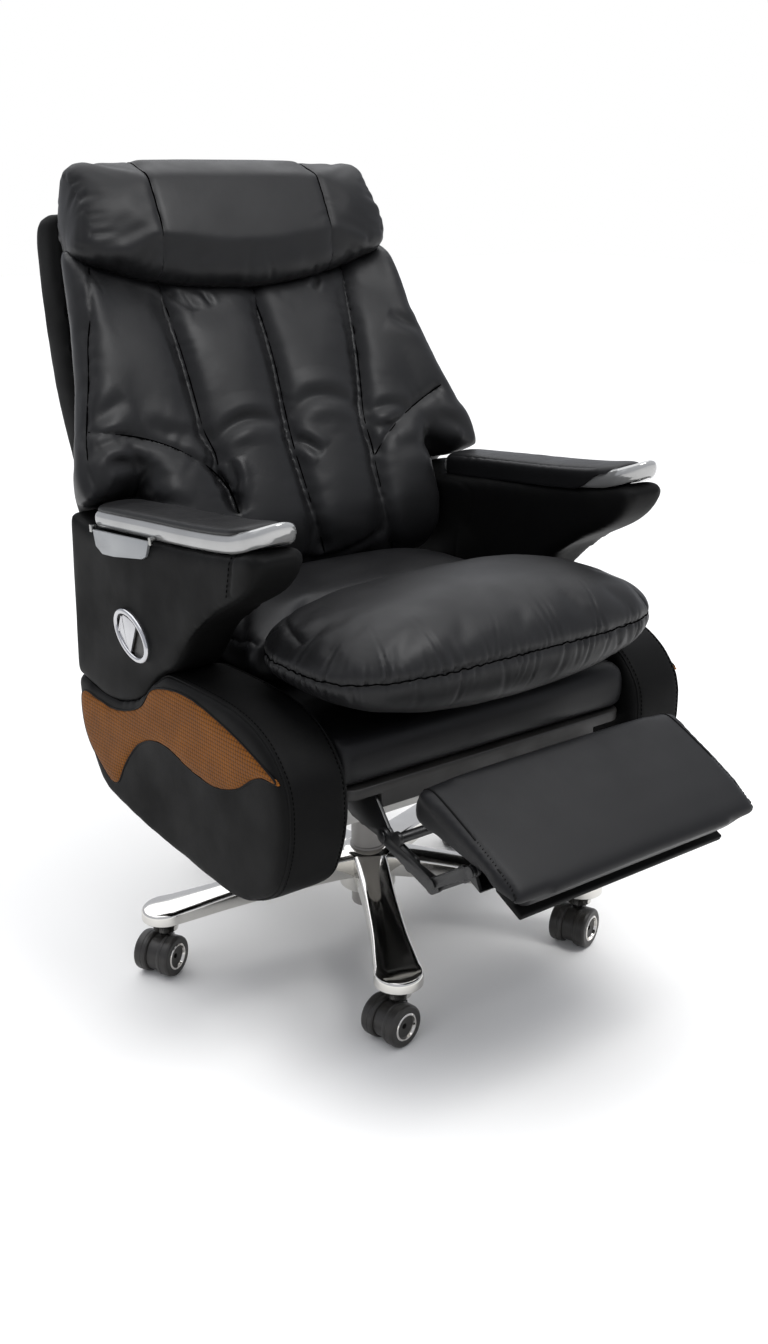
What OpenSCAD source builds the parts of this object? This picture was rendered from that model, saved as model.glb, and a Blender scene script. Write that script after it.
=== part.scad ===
// Executive recliner chair: star base on casters, gas lift, swivel seat between
// upholstered side panels, reclining back and a folding bar-linkage footrest.
// Origin: floor point on the swivel axis. The chair faces -Y, +Z is up.

/* [Star base] */
// Radius of the circle through the caster stems
base_r = 326; // [300:2:350]
// Turn of the star about the column, degrees
base_turn = -30; // [-36:1:36]
// Width of an arm at its rounded tip
arm_tip_w = 68; // [60:1:76]
// Width of an arm at its waist
arm_waist_w = 48; // [42:1:56]
// Height of the arm's top at the tip
arm_tip_z = 100; // [96:1:106]
// Height of the hub's top
hub_top_z = 130; // [124:1:136]
// Height of the hub's lower rim
hub_low_z = 66; // [60:1:74]
// Radius of the hub
hub_r = 43; // [38:1:48]
// Height of the arm's side wall at the tip
arm_tip_h = 20; // [16:1:24]
// Wall of the hollow casting
base_wall = 4; // [3:0.5:6]
// Radius of the collar under the arm tip, at its top
collar_top_r = 25; // [22:1:28]
// Radius of the collar at its lower rim
collar_low_r = 18; // [15:1:20]
// Height of the collar's lower rim
collar_z = 62; // [61:0.5:66]

/* [Casters] */
// Radius of a caster wheel
wheel_r = 30; // [26:0.5:30]
// Width of one wheel
wheel_w = 20.5; // [17:0.5:23]
// Width of the gap between the two wheels
wheel_gap = 17; // [15:0.5:20]
// Distance from the stem axis to the wheel axle
caster_trail = 15; // [12:0.5:18]
// Radius of the steel stem
stem_r = 5.5; // [5:0.5:6]
// Radius of the wheel axle
axle_r = 4; // [3:0.5:5]
// Width of the moulded fork between the wheels
fork_w = 16; // [12:0.5:16.5]
// Outer radius of the bright ring on a wheel
ring_r = 19.5; // [17:0.5:21]
// Width of the bright ring's face
ring_w = 4; // [2.5:0.5:6]

/* [Gas lift] */
// Outer radius of the lift's tube
tube_r = 25; // [23:0.5:27]
// Height of the tube's lower end
tube_low_z = 34; // [30:1:40]
// Height of the tube's upper end
tube_top_z = 232; // [200:1:240]
// Radius of the piston rod
piston_r = 14; // [12:0.5:16]
// Length of the lift stroke
lift_stroke = 80; // [40:5:90]

/* [Seat mechanism] */
// Height of the mechanism's lower face
housing_low_z = 264; // [262:1:270]
// Height of the mechanism's top flange
housing_top_z = 338; // [334:1:342]
// Length of the mechanism housing, fore and aft
housing_len = 220; // [180:5:240]
// Width of the mechanism housing
housing_w = 130; // [110:5:160]
// Height of a mounting rail
rail_h = 24; // [20:1:28]
// Width of a mounting rail
rail_w = 40; // [30:1:44]
// Wall of a mounting rail
rail_wall = 2.5; // [2:0.5:4]
// Distance from the middle plane to a rail's outer side
rail_x = 190; // [180:1:196]
// Forward end of the rails
rail_front_y = -270; // [-276:1:-262]
// Rear end of the rails
rail_rear_y = 214; // [210:1:222]

/* [Seat] */
// Thickness of the plywood seat board
board_t = 15; // [12:0.5:18]
// Forward edge of the lower upholstered seat base
seat_front_y = -282; // [-290:1:-278]
// Rear edge of the seat base and cushion
seat_rear_y = 166; // [158:1:168]
// Thickness of the lower seat base
base_pad_h = 68; // [60:1:74]
// Half width of the seat between the side panels
seat_half_w = 252.6; // [248:0.2:252.7]
// Half width of the front pillow, which bulges over the panels
pillow_half_w = 287; // [275:1:292]
// Depth of the front pillow, fore and aft
pillow_len = 266; // [240:2:268]
// Line where the front pillow meets the rear seat cushion
crease_y = -84; // [-84:1:-76]
// Height of the sewn seam round the front pillow
pillow_seam_z = 529; // [522:1:536]
// Rise of the pillow's crown above its seam
pillow_crown = 70; // [55:1:76]
// Height of the rear seat cushion
seat_pad_h = 103; // [85:1:104]

/* [Side panels] */
// Distance from the middle plane to a panel's outer face
panel_x = 350; // [345:1:356]
// Thickness of a side panel
panel_t = 97; // [92:1:97]
// Length of a side panel, fore and aft
panel_len = 536; // [530:1:540]
// Rear edge of a side panel
panel_rear_y = 234; // [230:1:236]
// Height of the panel's lowest point
panel_low_z = 221; // [218:1:228]
// Height of the lower panel from its lowest point to its shoulder
panel_h = 264; // [260:1:266]
// Rounding of the padded panel edges
panel_edge = 9; // [5:1:11]
// Thickness of the woven insert
insert_t = 1.6; // [1:0.2:3]

/* [Armrests] */
// Height of the armrest body from the panel's lowest point to its nose
armrest_h = 471; // [470:1:474]
// Thickness of the armrest at its nose
armrest_nose_t = 76; // [70:1:80]
// Width of the bright arm trim
trim_w = 74; // [70:1:78]
// Distance from the middle plane to the arm's centre line
arm_x = 311; // [309:1:313]
// Length of the arm trim
trim_len = 412; // [406:1:418]
// Rear end of the arm trim
trim_rear_y = 162; // [158:1:166]
// Height of the trim's lower edge at its rear end
trim_low_z = 647; // [647:0.5:650]
// Thickness of the arm trim
trim_h = 25; // [22:1:28]
// Width of the arm pad
arm_pad_w = 56; // [50:1:60]
// Length of the arm pad
arm_pad_len = 330; // [300:5:340]
// Rear end of the arm pad
arm_pad_rear_y = 116; // [105:1:125]
// Depth of the pocket that holds the arm pad
pocket_d = 7; // [5:0.5:9]
// Rise of the arm pad above the trim
arm_pad_rise = 8; // [4:0.5:12]

/* [Back] */
// Half width of the back shell
shell_half_w = 262; // [255:1:268]
// Height of the back shell's lower edge
shell_low_z = 500; // [496:1:504]
// Height of the back shell from its lower edge to its top
shell_h = 546; // [530:2:560]
// Depth that the shell's lean and curve cover
shell_lean = 197; // [190:1:200]
// Line of the shell's lower front corner
shell_front_y = 276; // [274:1:280]
// Rounding of the shell's side edges
shell_edge = 12; // [6:1:16]
// Height of the back cushion's lower edge
back_low_z = 549; // [548:1:556]
// Height of the cushion's upper edge at the middle
back_top_z = 944; // [936:1:950]
// Rise of the upper seam towards its ends
seam_rise = 42; // [30:1:50]
// Front line of the cushion at its lower edge
back_front_y = 99; // [96:1:104]
// Lean of the cushion's front, degrees from upright
back_lean = 25.7; // [22:0.5:27]
// Half width of the cushion over the armrests
back_half_w = 342; // [335:1:346]
// Half width of the cushion between the armrests
back_inner_w = 250; // [240:1:252]
// Height of the lower edge of the cushion's wings
wing_z = 688; // [686:1:698]
// Depth of the sewn channels
channel_d = 13; // [6:1:18]
// Half width of a channel's valley
channel_w = 17; // [12:1:24]
// Distance of the outer channels from the middle, at the top
channel_top_x = 165; // [150:1:175]
// Distance of the outer channels from the middle, at the bottom
channel_low_x = 122; // [112:1:135]

/* [Headrest] */
// Half width of the headrest
head_half_w = 270; // [262:1:280]
// Height of the headrest's top
head_top_z = 1124; // [1110:1:1132]
// Bulge of the headrest in front of the cushion's line
head_bulge = 17; // [8:1:24]

/* [Recline hinge] */
// Line of the recline hinge, from front to back
hinge_y = 195; // [192:1:196]
// Height of the recline hinge
hinge_z = 430; // [426:1:434]
// Radius of the hinge pin
hinge_pin_r = 7; // [5:0.5:9]
// Thickness of the hinge plates
hinge_t = 5; // [4:0.5:6]

/* [Footrest] */
// Half width of the footrest at its rear edge
foot_rear_w = 218; // [212:1:222]
// Half width of the footrest at its front edge
foot_front_w = 208; // [200:1:212]
// Length of the footrest along its slope
foot_len = 197; // [190:1:200]
// Slope of the footrest's top, degrees
foot_slope = 26; // [24:0.5:28]
// Upper rear edge of the footrest, from front to back
foot_rear_y = -387; // [-390:1:-385]
// Height of the footrest's upper rear edge
foot_rear_z = 422; // [420:1:424]
// Thickness of the footrest at its rear
foot_rear_t = 58; // [54:1:60]
// Half width of the board under the footrest
foot_board_w = 178; // [160:1:182]
// Thickness of the board under the footrest
foot_board_t = 9; // [6:0.5:11]

/* [Footrest linkage] */
// Line of the swing arm's fixed pivot
crank_y = -296; // [-298:0.5:-294]
// Height of the swing arm's fixed pivot
crank_z = 311.5; // [310:0.5:313]
// Line of the elbow pivot
elbow_y = -392; // [-394:0.5:-390]
// Height of the elbow pivot
elbow_z = 280; // [278:0.5:282]
// Line of the footrest's own pivot
toe_y = -445; // [-447:0.5:-443]
// Height of the footrest's own pivot
toe_z = 315; // [313:0.5:317]
// Distance of the guide arm's pivots behind the swing arm's
guide_back = 50; // [46:0.5:54]
// Height of the guide arm's pivots above the swing arm's
guide_up = 8; // [6:0.5:10]
// Width of the linkage bars
bar_w = 22; // [18:0.5:22]
// Thickness of the linkage bars
bar_t = 5; // [4:0.5:5]
// Gap between neighbouring bars
bar_gap = 1; // [0.5:0.25:1]
// Radius of the linkage pins
pin_r = 4.5; // [3.5:0.5:5]
// Radius of a pin's head
pin_head_r = 7.5; // [6:0.5:8]
// Radius of the cross tube between the swing arms
cross_r = 7; // [5:0.5:8]

/* [Release handle] */
// Half length of the oval bezel
bezel_a = 47; // [42:1:50]
// Half height of the oval bezel
bezel_b = 31; // [28:1:34]
// Line of the bezel's centre
bezel_y = 54; // [48:1:60]
// Height of the bezel's centre
bezel_z = 520; // [514:1:526]
// Tilt of the bezel, degrees
bezel_tilt = 24; // [10:1:35]
// Height of the bezel above the panel
bezel_h = 8; // [7:0.5:10]
// Width of the bezel's rim
bezel_rim = 8; // [6:0.5:10]

/* [Height paddle] */
// Length of the lift paddle
paddle_len = 158; // [140:1:165]
// Drop of the lift paddle below the trim
paddle_drop = 31; // [26:1:36]
// Thickness of the lift paddle
paddle_t = 4; // [3:0.5:5]

/* [Clearances] */
// Radial clearance of a running pin or shaft
running_clear = 0.05; // [0.02:0.01:0.1]
// Gap that keeps padded pieces just off their neighbours
seat_gap = 0.3; // [0.2:0.05:0.5]

/* [Hidden] */
$fn = 64;

chrome = "gainsboro";
steel = "dimgray";
leather = [0.09, 0.09, 0.1];
woven = [0.62, 0.36, 0.16];
cut = 1;

// Common shapes: plates in the side plane, smooth outlines and lofted skins

// Extrudes a side outline, drawn as [y, z], across from x by t
module side_plate(x, t) {
    translate([x, 0, 0])
        rotate([90, 0, 90])
            linear_extrude(t)
                children();
}

module both_sides() {
    children();
    mirror([1, 0, 0])
        children();
}

// Mirrors a piece of the right side over to the left
module on_left() {
    mirror([1, 0, 0])
        children();
}

// Round eye of a linkage bar, and the waist between two eyes, which is a little narrower
waist_share = 0.88;

module eye(p, w) {
    translate(p)
        circle(d = w);
}

module waist(a, b, w) {
    translate(a)
        rotate(atan2(b[1] - a[1], b[0] - a[0]))
            translate([0, -waist_share * w / 2])
                square([norm(b - a), waist_share * w]);
}

// Pin across the bars: shank from x0 to x1, head of thickness bar_t / 2 at x0's or x1's side
module rivet(p, x0, x1, head_outside) {
    head_t = bar_t / 2;
    translate([x0, p[0], p[1]])
        rotate([0, 90, 0])
            cylinder(r = pin_r, h = x1 - x0);
    translate([head_outside ? x1 - head_t : x0, p[0], p[1]])
        rotate([0, 90, 0])
            cylinder(r = pin_head_r, h = head_t);
}

function wrap(i, n) = (i % n + n) % n;

// Point at share t of the stretch after point i, on a smooth closed curve
function curve_at(p, i, t) =
    let (n = len(p), a = p[wrap(i - 1, n)], b = p[i], c = p[wrap(i + 1, n)], d = p[wrap(i + 2, n)])
    (2 * b + (c - a) * t + (2 * a - 5 * b + 4 * c - d) * t * t + (3 * b - a - 3 * c + d) * t * t * t) / 2;
function closed_curve(p, steps) =
    [for (i = [0:len(p) - 1]) for (s = [0:steps - 1]) curve_at(p, i, s / steps)];

// Smooth line through the points, from the first up to but not including the last
function open_curve(p, steps) =
    let (n = len(p) - 1)
    [for (i = [0:n - 1]) for (s = [0:steps - 1])
        let (q = [p[max(0, i - 1)], p[i], p[i + 1], p[min(n, i + 2)]]) curve_at(q, 1, s / steps)];

// Moves each point of a counter-clockwise outline inwards by d
function inset(p, d) =
    let (n = len(p))
    [for (i = [0:n - 1])
        let (v = p[wrap(i + 1, n)] - p[wrap(i - 1, n)], u = v / norm(v))
        p[i] + d * [-u[1], u[0]]];

function scaled(shares, origin, size) =
    [for (s = shares) [origin[0] + s[0] * size[0], origin[1] + s[1] * size[1]]];

// Closed skin through rings that follow each other towards +X, each counter-clockwise in [y, z]
module skin(rings) {
    n = len(rings[0]);
    m = len(rings);
    sides = [for (j = [0:m - 2]) for (i = [0:n - 1])
        let (a = j * n + i, b = j * n + (i + 1) % n)
        each [[a, a + n, b], [a + n, b + n, b]]];
    ends = [[for (i = [0:n - 1]) i], [for (i = [n - 1:-1:0]) (m - 1) * n + i]];
    polyhedron([for (r = rings) each r], concat(sides, ends));
}

// Slab with padded edges: the outline in the side plane, from x0 to x1(y)
edge_turns = [0, 25, 52, 90];
module padded_slab(outline, x0, x1, edge) {
    near = [for (a = edge_turns)
        [for (q = inset(outline, edge * (1 - sin(a)))) [x0 + edge * (1 - cos(a)), q[0], q[1]]]];
    far = [for (k = [len(edge_turns) - 1:-1:0])
        let (a = edge_turns[k])
        [for (q = inset(outline, edge * (1 - sin(a)))) [x1(q[0]) - edge * (1 - cos(a)), q[0], q[1]]]];
    skin(concat(near, far));
}

// Counter-clockwise outline of a box with round corners
function rounded_box(low, size, r) =
    [for (c = [[1, 1, 0], [0, 1, 90], [0, 0, 180], [1, 0, 270]]) for (a = [0:18:90])
        [low[0] + c[0] * size[0] + (1 - 2 * c[0]) * r + r * cos(a + c[2]),
        low[1] + c[1] * size[1] + (1 - 2 * c[1]) * r + r * sin(a + c[2])]];

function power(v, e) = sign(v) * pow(abs(v), e);

// Roundness of a padded form that falls away towards its ends: 1 at the middle
function crown(s, squareness, fall) = pow(1 - pow(min(abs(s), 0.995), squareness), fall);

// Star base: hollow cast arms with ribs, a bored hub and a collar under each tip
arm_count = 5;
arm_plan_share = [[0, 1.08], [0.45, 1], [0.72, 1.08], [0.9, 1.3]];
arm_top_share = [[0.08, 1], [0.3, 0.8], [0.6, 0.42], [0.85, 0.12], [1, 0]];
arm_rib_share = [0.2, 0.38, 0.56, 0.74, 0.9];
arm_reach = base_r + arm_tip_w / 2;
arm_root_z = hub_top_z - base_wall / 2;
arm_drop = arm_root_z - arm_tip_z;
arm_low_z = arm_tip_z - arm_tip_h;
arm_arch = 12;
arm_arch_share = 0.7;
rib_t = base_wall;

function arm_angle(k) = base_turn - 90 + k * 360 / arm_count;

module arm_plan(thinner) {
    half = [for (s = arm_plan_share) [s[0] * base_r, s[1] * arm_waist_w / 2 - thinner]];
    polygon(concat(half, [for (k = [len(half) - 1:-1:0]) [half[k][0], -half[k][1]]]));
    translate([base_r, 0])
        circle(r = arm_tip_w / 2 - thinner);
    translate([half[3][0], -half[3][1]])
        square([base_r - half[3][0], 2 * half[3][1]]);
}

module arm_side(lower) {
    top = [for (s = arm_top_share) [s[0] * arm_reach, arm_tip_z + s[1] * arm_drop - lower]];
    low = arm_low_z - (lower > 0 ? cut : 0);
    arch = lower > 0 ? 0 : arm_arch;
    rotate([90, 0, 0])
        translate([0, 0, -arm_tip_w])
            linear_extrude(2 * arm_tip_w)
                polygon(concat(top, [[arm_reach, low], [arm_arch_share * arm_reach, low + arch / 4], [0, low + arch],
                    [0, arm_root_z - lower]]));
}

module base_arm() {
    difference() {
        intersection() {
            linear_extrude(hub_top_z)
                arm_plan(0);
            arm_side(0);
        }
        intersection() {
            linear_extrude(hub_top_z)
                arm_plan(base_wall);
            arm_side(base_wall);
            union() {
                for (k = [0:len(arm_rib_share) - 2])
                    translate([arm_rib_share[k] * base_r + rib_t / 2, -arm_tip_w / 2, 0])
                        cube([(arm_rib_share[k + 1] - arm_rib_share[k]) * base_r - rib_t, arm_tip_w,
                            hub_top_z]);
            }
        }
    }
    translate([base_r, 0, collar_z])
        cylinder(r1 = collar_low_r, r2 = collar_top_r, h = arm_low_z - collar_z + base_wall);
}

module star_base() {
    color(chrome)
        difference() {
            union() {
                translate([0, 0, hub_low_z])
                    cylinder(r = hub_r, h = hub_top_z - hub_low_z);
                for (k = [0:arm_count - 1])
                    rotate(arm_angle(k))
                        base_arm();
            }
            translate([0, 0, hub_low_z - cut])
                cylinder(r = tube_r, h = hub_top_z - hub_low_z + 2 * cut);
            for (k = [0:arm_count - 1])
                rotate(arm_angle(k))
                    translate([base_r, 0, collar_z - cut])
                        cylinder(r = stem_r, h = stem_top_z - collar_z + cut);
        }
}

// Casters: steel stem, moulded fork, axle, twin wheels and their bright rings
caster_turns = [-171, -160, -120, 160, -154];
stem_top_z = arm_tip_z - base_wall;
stem_low_z = wheel_r + axle_r + 2 * base_wall;
fork_top_z = collar_z - seat_gap;
fork_disc_r = wheel_r - base_wall;
fork_neck_r = stem_r + base_wall;
wheel_web_share = [0.3, 0.8];
ring_face_share = [0.86, 0.92, 1.03, 1.04];
ring_crest_share = [0.7, 0.3];
wheel_share = [[0.62, 0.3], [0.62, 0.08], [0.7, 0], [0.9, 0], [0.97, 0.06], [1, 0.2],
    [1, 0.34], [0.985, 0.36], [0.985, 0.4], [1, 0.42], [1, 0.8], [0.97, 0.93], [0.9, 1], [0.7, 1]];

module at_caster(k) {
    rotate(arm_angle(k))
        translate([base_r, 0, 0])
            rotate(caster_turns[k] - arm_angle(k))
                children();
}

module at_axle() {
    translate([caster_trail, 0, wheel_r])
        rotate([-90, 0, 0])
            children();
}

module caster_stems() {
    color(steel)
        for (k = [0:arm_count - 1])
            rotate(arm_angle(k))
                translate([base_r, 0, stem_low_z])
                    cylinder(r = stem_r, h = stem_top_z - stem_low_z);
}

module caster_fork(k) {
    color(leather)
        at_caster(k)
            difference() {
                union() {
                    at_axle()
                        translate([0, 0, -fork_w / 2])
                            cylinder(r = fork_disc_r, h = fork_w);
                    intersection() {
                        translate([0, 0, stem_low_z - base_wall])
                            cylinder(r = fork_neck_r, h = fork_top_z - stem_low_z + base_wall);
                        translate([-fork_neck_r, -fork_w / 2, 0])
                            cube([2 * fork_neck_r, fork_w, fork_top_z]);
                    }
                    translate([-fork_neck_r, -fork_w / 2, wheel_r])
                        cube([caster_trail + fork_neck_r, fork_w, fork_disc_r - rib_t]);
                }
                translate([0, 0, stem_low_z - seat_gap])
                    cylinder(r = stem_r + running_clear, h = fork_top_z);
                at_axle()
                    translate([0, 0, -fork_w])
                        cylinder(r = axle_r + running_clear, h = 2 * fork_w);
            }
}

module caster_axle(k) {
    color(steel)
        at_caster(k)
            at_axle()
                translate([0, 0, -wheel_gap / 2 - wheel_w / 2])
                    cylinder(r = axle_r, h = wheel_gap + wheel_w);
}

// One wheel from the gap outwards; the other is its mirror image
module wheel_pair() {
    for (side = [0, 1])
        mirror([0, 0, side])
            translate([0, 0, wheel_gap / 2])
                children();
}

module caster_wheels(k) {
    color(leather)
        at_caster(k)
            at_axle()
                wheel_pair()
                    rotate_extrude()
                        polygon(concat([[axle_r, wheel_web_share[0] * wheel_w]],
                            [for (s = wheel_share) [s[0] * wheel_r, s[1] * wheel_w]],
                            [[ring_r, wheel_w], [ring_r, ring_face_share[1] * wheel_w],
                            [ring_r - ring_w, ring_face_share[0] * wheel_w],
                            [axle_r, wheel_web_share[1] * wheel_w]]));
}

module caster_rings(k) {
    color(chrome)
        at_caster(k)
            at_axle()
                wheel_pair()
                    rotate_extrude()
                        polygon([[ring_r, ring_face_share[1] * wheel_w], [ring_r, wheel_w],
                            [ring_r - ring_crest_share[1] * ring_w, ring_face_share[3] * wheel_w],
                            [ring_r - ring_crest_share[0] * ring_w, ring_face_share[2] * wheel_w],
                            [ring_r - ring_w, ring_face_share[0] * wheel_w]]);
}

// Gas lift: closed tube in the hub, and the piston rod that rises out of it
housing_wall = 4;
tube_floor = base_wall;
piston_hold = 86;
piston_low_z = tube_top_z - lift_stroke - piston_hold;
piston_top_z = housing_top_z - housing_wall - base_wall;

module gas_tube() {
    color(chrome)
        difference() {
            union() {
                translate([0, 0, tube_low_z])
                    cylinder(r = tube_r, h = tube_top_z - tube_low_z);
                translate([0, 0, hub_top_z])
                    cylinder(r = tube_r + base_wall / 2, h = base_wall);
            }
            translate([0, 0, tube_low_z + tube_floor])
                cylinder(r = piston_r + running_clear, h = tube_top_z);
        }
}

module gas_piston() {
    color(steel)
        translate([0, 0, piston_low_z])
            cylinder(r = piston_r, h = piston_top_z - piston_low_z);
}

// Seat mechanism: a pressed housing on the piston, two rails and a cross plate
boss_r = piston_r + 2 * housing_wall;
flange_len = 180;
housing_side_share = [[0, 0.45], [0.14, 0], [0.86, 0], [1, 0.45], [1, 1], [0, 1]];
rail_low_z = housing_top_z;
rail_top_z = rail_low_z + rail_h;
board_top_z = rail_top_z + board_t;
base_top_z = board_top_z + base_pad_h;

module housing_side(thinner) {
    polygon([for (s = housing_side_share)
        [(s[0] - 0.5) * (housing_len - 2 * thinner),
        housing_low_z + s[1] * (housing_top_z - housing_low_z) - thinner]]);
}

module tilt_housing() {
    color(steel)
        difference() {
            union() {
                difference() {
                    side_plate(-housing_w / 2, housing_w)
                        housing_side(0);
                    side_plate(-housing_w / 2 + housing_wall, housing_w - 2 * housing_wall)
                        housing_side(housing_wall);
                }
                translate([0, 0, housing_low_z])
                    cylinder(r = boss_r, h = housing_top_z - housing_low_z);
                translate([-rail_x, -flange_len / 2, housing_top_z - housing_wall])
                    cube([2 * rail_x, flange_len, housing_wall]);
            }
            translate([0, 0, tube_top_z])
                cylinder(r = piston_r + running_clear, h = piston_top_z + seat_gap - tube_top_z);
        }
}

module mounting_rails() {
    color(steel)
        both_sides()
            difference() {
                translate([rail_x - rail_w, rail_front_y, rail_low_z])
                    cube([rail_w, rail_rear_y - rail_front_y, rail_h]);
                translate([rail_x - rail_w + rail_wall, rail_front_y - cut, rail_low_z + rail_wall])
                    cube([rail_w - 2 * rail_wall, rail_rear_y - rail_front_y + 2 * cut,
                        rail_h - 2 * rail_wall]);
            }
}

cross_y = -182;
cross_low_z = 276;
cross_h = 22;
cross_t = 5;

module cross_plate() {
    color(steel)
        difference() {
            translate([-rail_x, cross_y, cross_low_z])
                cube([2 * rail_x, cross_t, rail_low_z - cross_low_z]);
            translate([-rail_x + rail_w, cross_y - cut, cross_low_z + cross_h])
                cube([2 * (rail_x - rail_w), cross_t + 2 * cut, rail_low_z]);
        }
    color(steel)
        translate([-rail_x + rail_w, cross_y, cross_low_z])
            cube([2 * (rail_x - rail_w), 3 * cross_t, cross_t]);
}

board_r = 30;
lip_h = 20;

module seat_board() {
    color(leather)
        translate([-rail_x + seat_gap, seat_front_y, rail_top_z - lip_h])
            cube([2 * (rail_x - seat_gap), rail_front_y - seat_front_y - 2 * seat_gap, lip_h]);
    color(leather)
        translate([0, 0, rail_top_z])
            linear_extrude(board_t)
                union() {
                    translate([-seat_half_w, seat_front_y + board_r])
                        square([2 * seat_half_w, seat_rear_y - seat_front_y - board_r]);
                    translate([-seat_half_w + board_r, seat_front_y])
                        square([2 * (seat_half_w - board_r), board_r]);
                    for (x = [-1, 1])
                        translate([x * (seat_half_w - board_r), seat_front_y + board_r])
                            circle(r = board_r);
                }
}

// Upholstered seat: a lower base, a rear cushion and a pillow that rolls over the front
base_round = 20;

module base_pad() {
    color(leather)
        padded_slab(
            rounded_box([seat_front_y, board_top_z], [seat_rear_y - seat_front_y, base_pad_h], base_round),
            -seat_half_w, function(y) seat_half_w, panel_edge);
}

ring_turns = [for (k = [0:21]) k * 360 / 22];
pad_x_share = [-1, -0.985, -0.95, -0.88, -0.75, -0.5, -0.25, 0, 0.25, 0.5, 0.75, 0.88, 0.95, 0.985, 1];

module seat_pad() {
    half_len = (seat_rear_y - crease_y) / 2;
    mid_y = crease_y + half_len;
    half_h = seat_pad_h / 2;
    mid_z = base_top_z + seat_gap + half_h;
    half_w = seat_half_w - seat_gap;
    color(leather)
        skin([for (s = pad_x_share)
            let (fall = crown(s, 9, 0.4), top = 0.82 * fall + 0.1 * crown(s, 2, 1))
            [for (a = ring_turns)
                [s * half_w, mid_y + power(cos(a), cos(a) > 0 ? 0.2 : 0.35) * half_len * (0.9 + 0.1 * fall),
                mid_z + power(sin(a), 0.35) * half_h * (sin(a) > 0 ? top : fall)]]]);
}

module front_pillow() {
    rise = pillow_crown;
    sink = pillow_seam_z - base_top_z - seat_gap;
    color(leather)
        skin([for (s = pad_x_share)
            let (depth = crown(s, 5, 0.32) * pillow_len / 2, lift = crown(s, 3.2, 0.5),
                drop = crown(s, 2, 0.5))
            [for (a = ring_turns)
                [s * pillow_half_w,
                crease_y - seat_gap - pillow_len / 2 + power(cos(a), 0.7) * depth,
                pillow_seam_z + power(sin(a), 0.72) * (sin(a) > 0 ? rise * lift : sink * drop)]]]);
}

// Side panels: padded lower panel with a woven insert, and the armrest body above it
seam_share = [[0.995, 0.75], [0.875, 0.697], [0.8, 0.693], [0.72, 0.727], [0.64, 0.8], [0.575, 0.93],
    [0.527, 0.995]];
panel_front_share = [[0.465, 1], [0.36, 1], [0.235, 0.99], [0.14, 0.95], [0.075, 0.88], [0.032, 0.79],
    [0.006, 0.7],
    [0, 0.54], [0.01, 0.39], [0.043, 0.215], [0.087, 0.12], [0.187, 0.02], [0.29, 0], [0.475, 0.03],
    [0.634, 0.054], [0.81, 0.11], [0.9, 0.18], [0.972, 0.46]];
panel_origin = [panel_rear_y - panel_len, panel_low_z];
panel_size = [panel_len, panel_h];

seam = scaled(seam_share, panel_origin, panel_size);
seam_last = len(seam) - 1;

module panel() {
    front = scaled(panel_front_share, panel_origin, panel_size);
    color(leather)
        padded_slab(concat(open_curve(seam, 2), open_curve(concat([seam[seam_last]], front, [seam[0]]), 2)),
            -panel_x, function(y) panel_t - panel_x, panel_edge);
}

insert_low_share = [[0.02, 0.745], [0.085, 0.735], [0.135, 0.69], [0.187, 0.615], [0.25, 0.565],
    [0.315, 0.545], [0.42, 0.565], [0.5, 0.605], [0.59, 0.6], [0.675, 0.52], [0.745, 0.37], [0.8, 0.215],
    [0.87, 0.26], [0.955, 0.42]];
insert_rear_share = [[0.965, 0.66]];
insert_drop_share = [0, 0.03];
insert_front_share = [[0.42, 0.955], [0.25, 0.905], [0.12, 0.83]];

module insert() {
    color(woven)
        side_plate(-panel_x - insert_t, insert_t)
            polygon(closed_curve(scaled(concat(insert_rear_share,
                [for (k = [1:seam_last - 1]) seam_share[k] - insert_drop_share], insert_front_share,
                insert_low_share), panel_origin, panel_size), 4));
}

armrest_waist_share = 0.42;
armrest_rear_share = [[0.98, 0.875], [0.97, 0.925]];
armrest_nose_share = [[0.162, 0.984], [0.123, 0.991], [0.104, 0.972], [0.112, 0.941], [0.142, 0.894],
    [0.196, 0.849], [0.267, 0.809], [0.34, 0.762], [0.388, 0.711], [0.433, 0.65], [0.466, 0.603],
    [0.496, 0.575]];

module armrest() {
    waist = armrest_waist_share * panel_len;
    size = [panel_len, armrest_h];
    upper = concat(scaled(armrest_rear_share, panel_origin, size), trim_line(-2 * seat_gap, 0, 3),
        scaled(armrest_nose_share, panel_origin, size));
    low_seam = [for (k = [seam_last:-1:0]) seam[k] + [0, 2 * seat_gap]];
    color(leather)
        padded_slab(concat(open_curve(low_seam, 2),
            open_curve(concat([low_seam[seam_last]], upper, [low_seam[0]]), 2)),
            -panel_x, function(y) -panel_x + armrest_nose_t + (panel_t - armrest_nose_t)
                * min(1, max(0, (y - panel_origin[0] - waist) / waist)), panel_edge);
}

// Arm trim: a bright bumper that follows the armrest's top, with a pocket for the pad
trim_rise_share = [[0, 0], [0.33, 0.198], [0.64, 0.375], [0.85, 0.56], [0.96, 0.82], [1, 1]];
trim_tilt_z = 56;

function trim_line(up, from, to) = [for (k = [from:(to > from ? 1 : -1):to])
    [trim_rear_y - trim_rise_share[k][0] * trim_len, trim_low_z + trim_rise_share[k][1] * trim_tilt_z + up]];

// Plan of a strip with a round nose and two rounded rear corners
module arm_plan_outline(w, rear_y, len) {
    nose_r = w / 2;
    corner_r = w / 4;
    translate([-arm_x - nose_r, rear_y - len + nose_r])
        square([w, len - nose_r - corner_r]);
    translate([-arm_x, rear_y - len + nose_r])
        circle(r = nose_r);
    translate([-arm_x - corner_r, rear_y - corner_r])
        square([2 * corner_r, corner_r]);
    for (x = [-1, 1])
        translate([-arm_x + x * corner_r, rear_y - corner_r])
            circle(r = corner_r);
}

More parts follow.
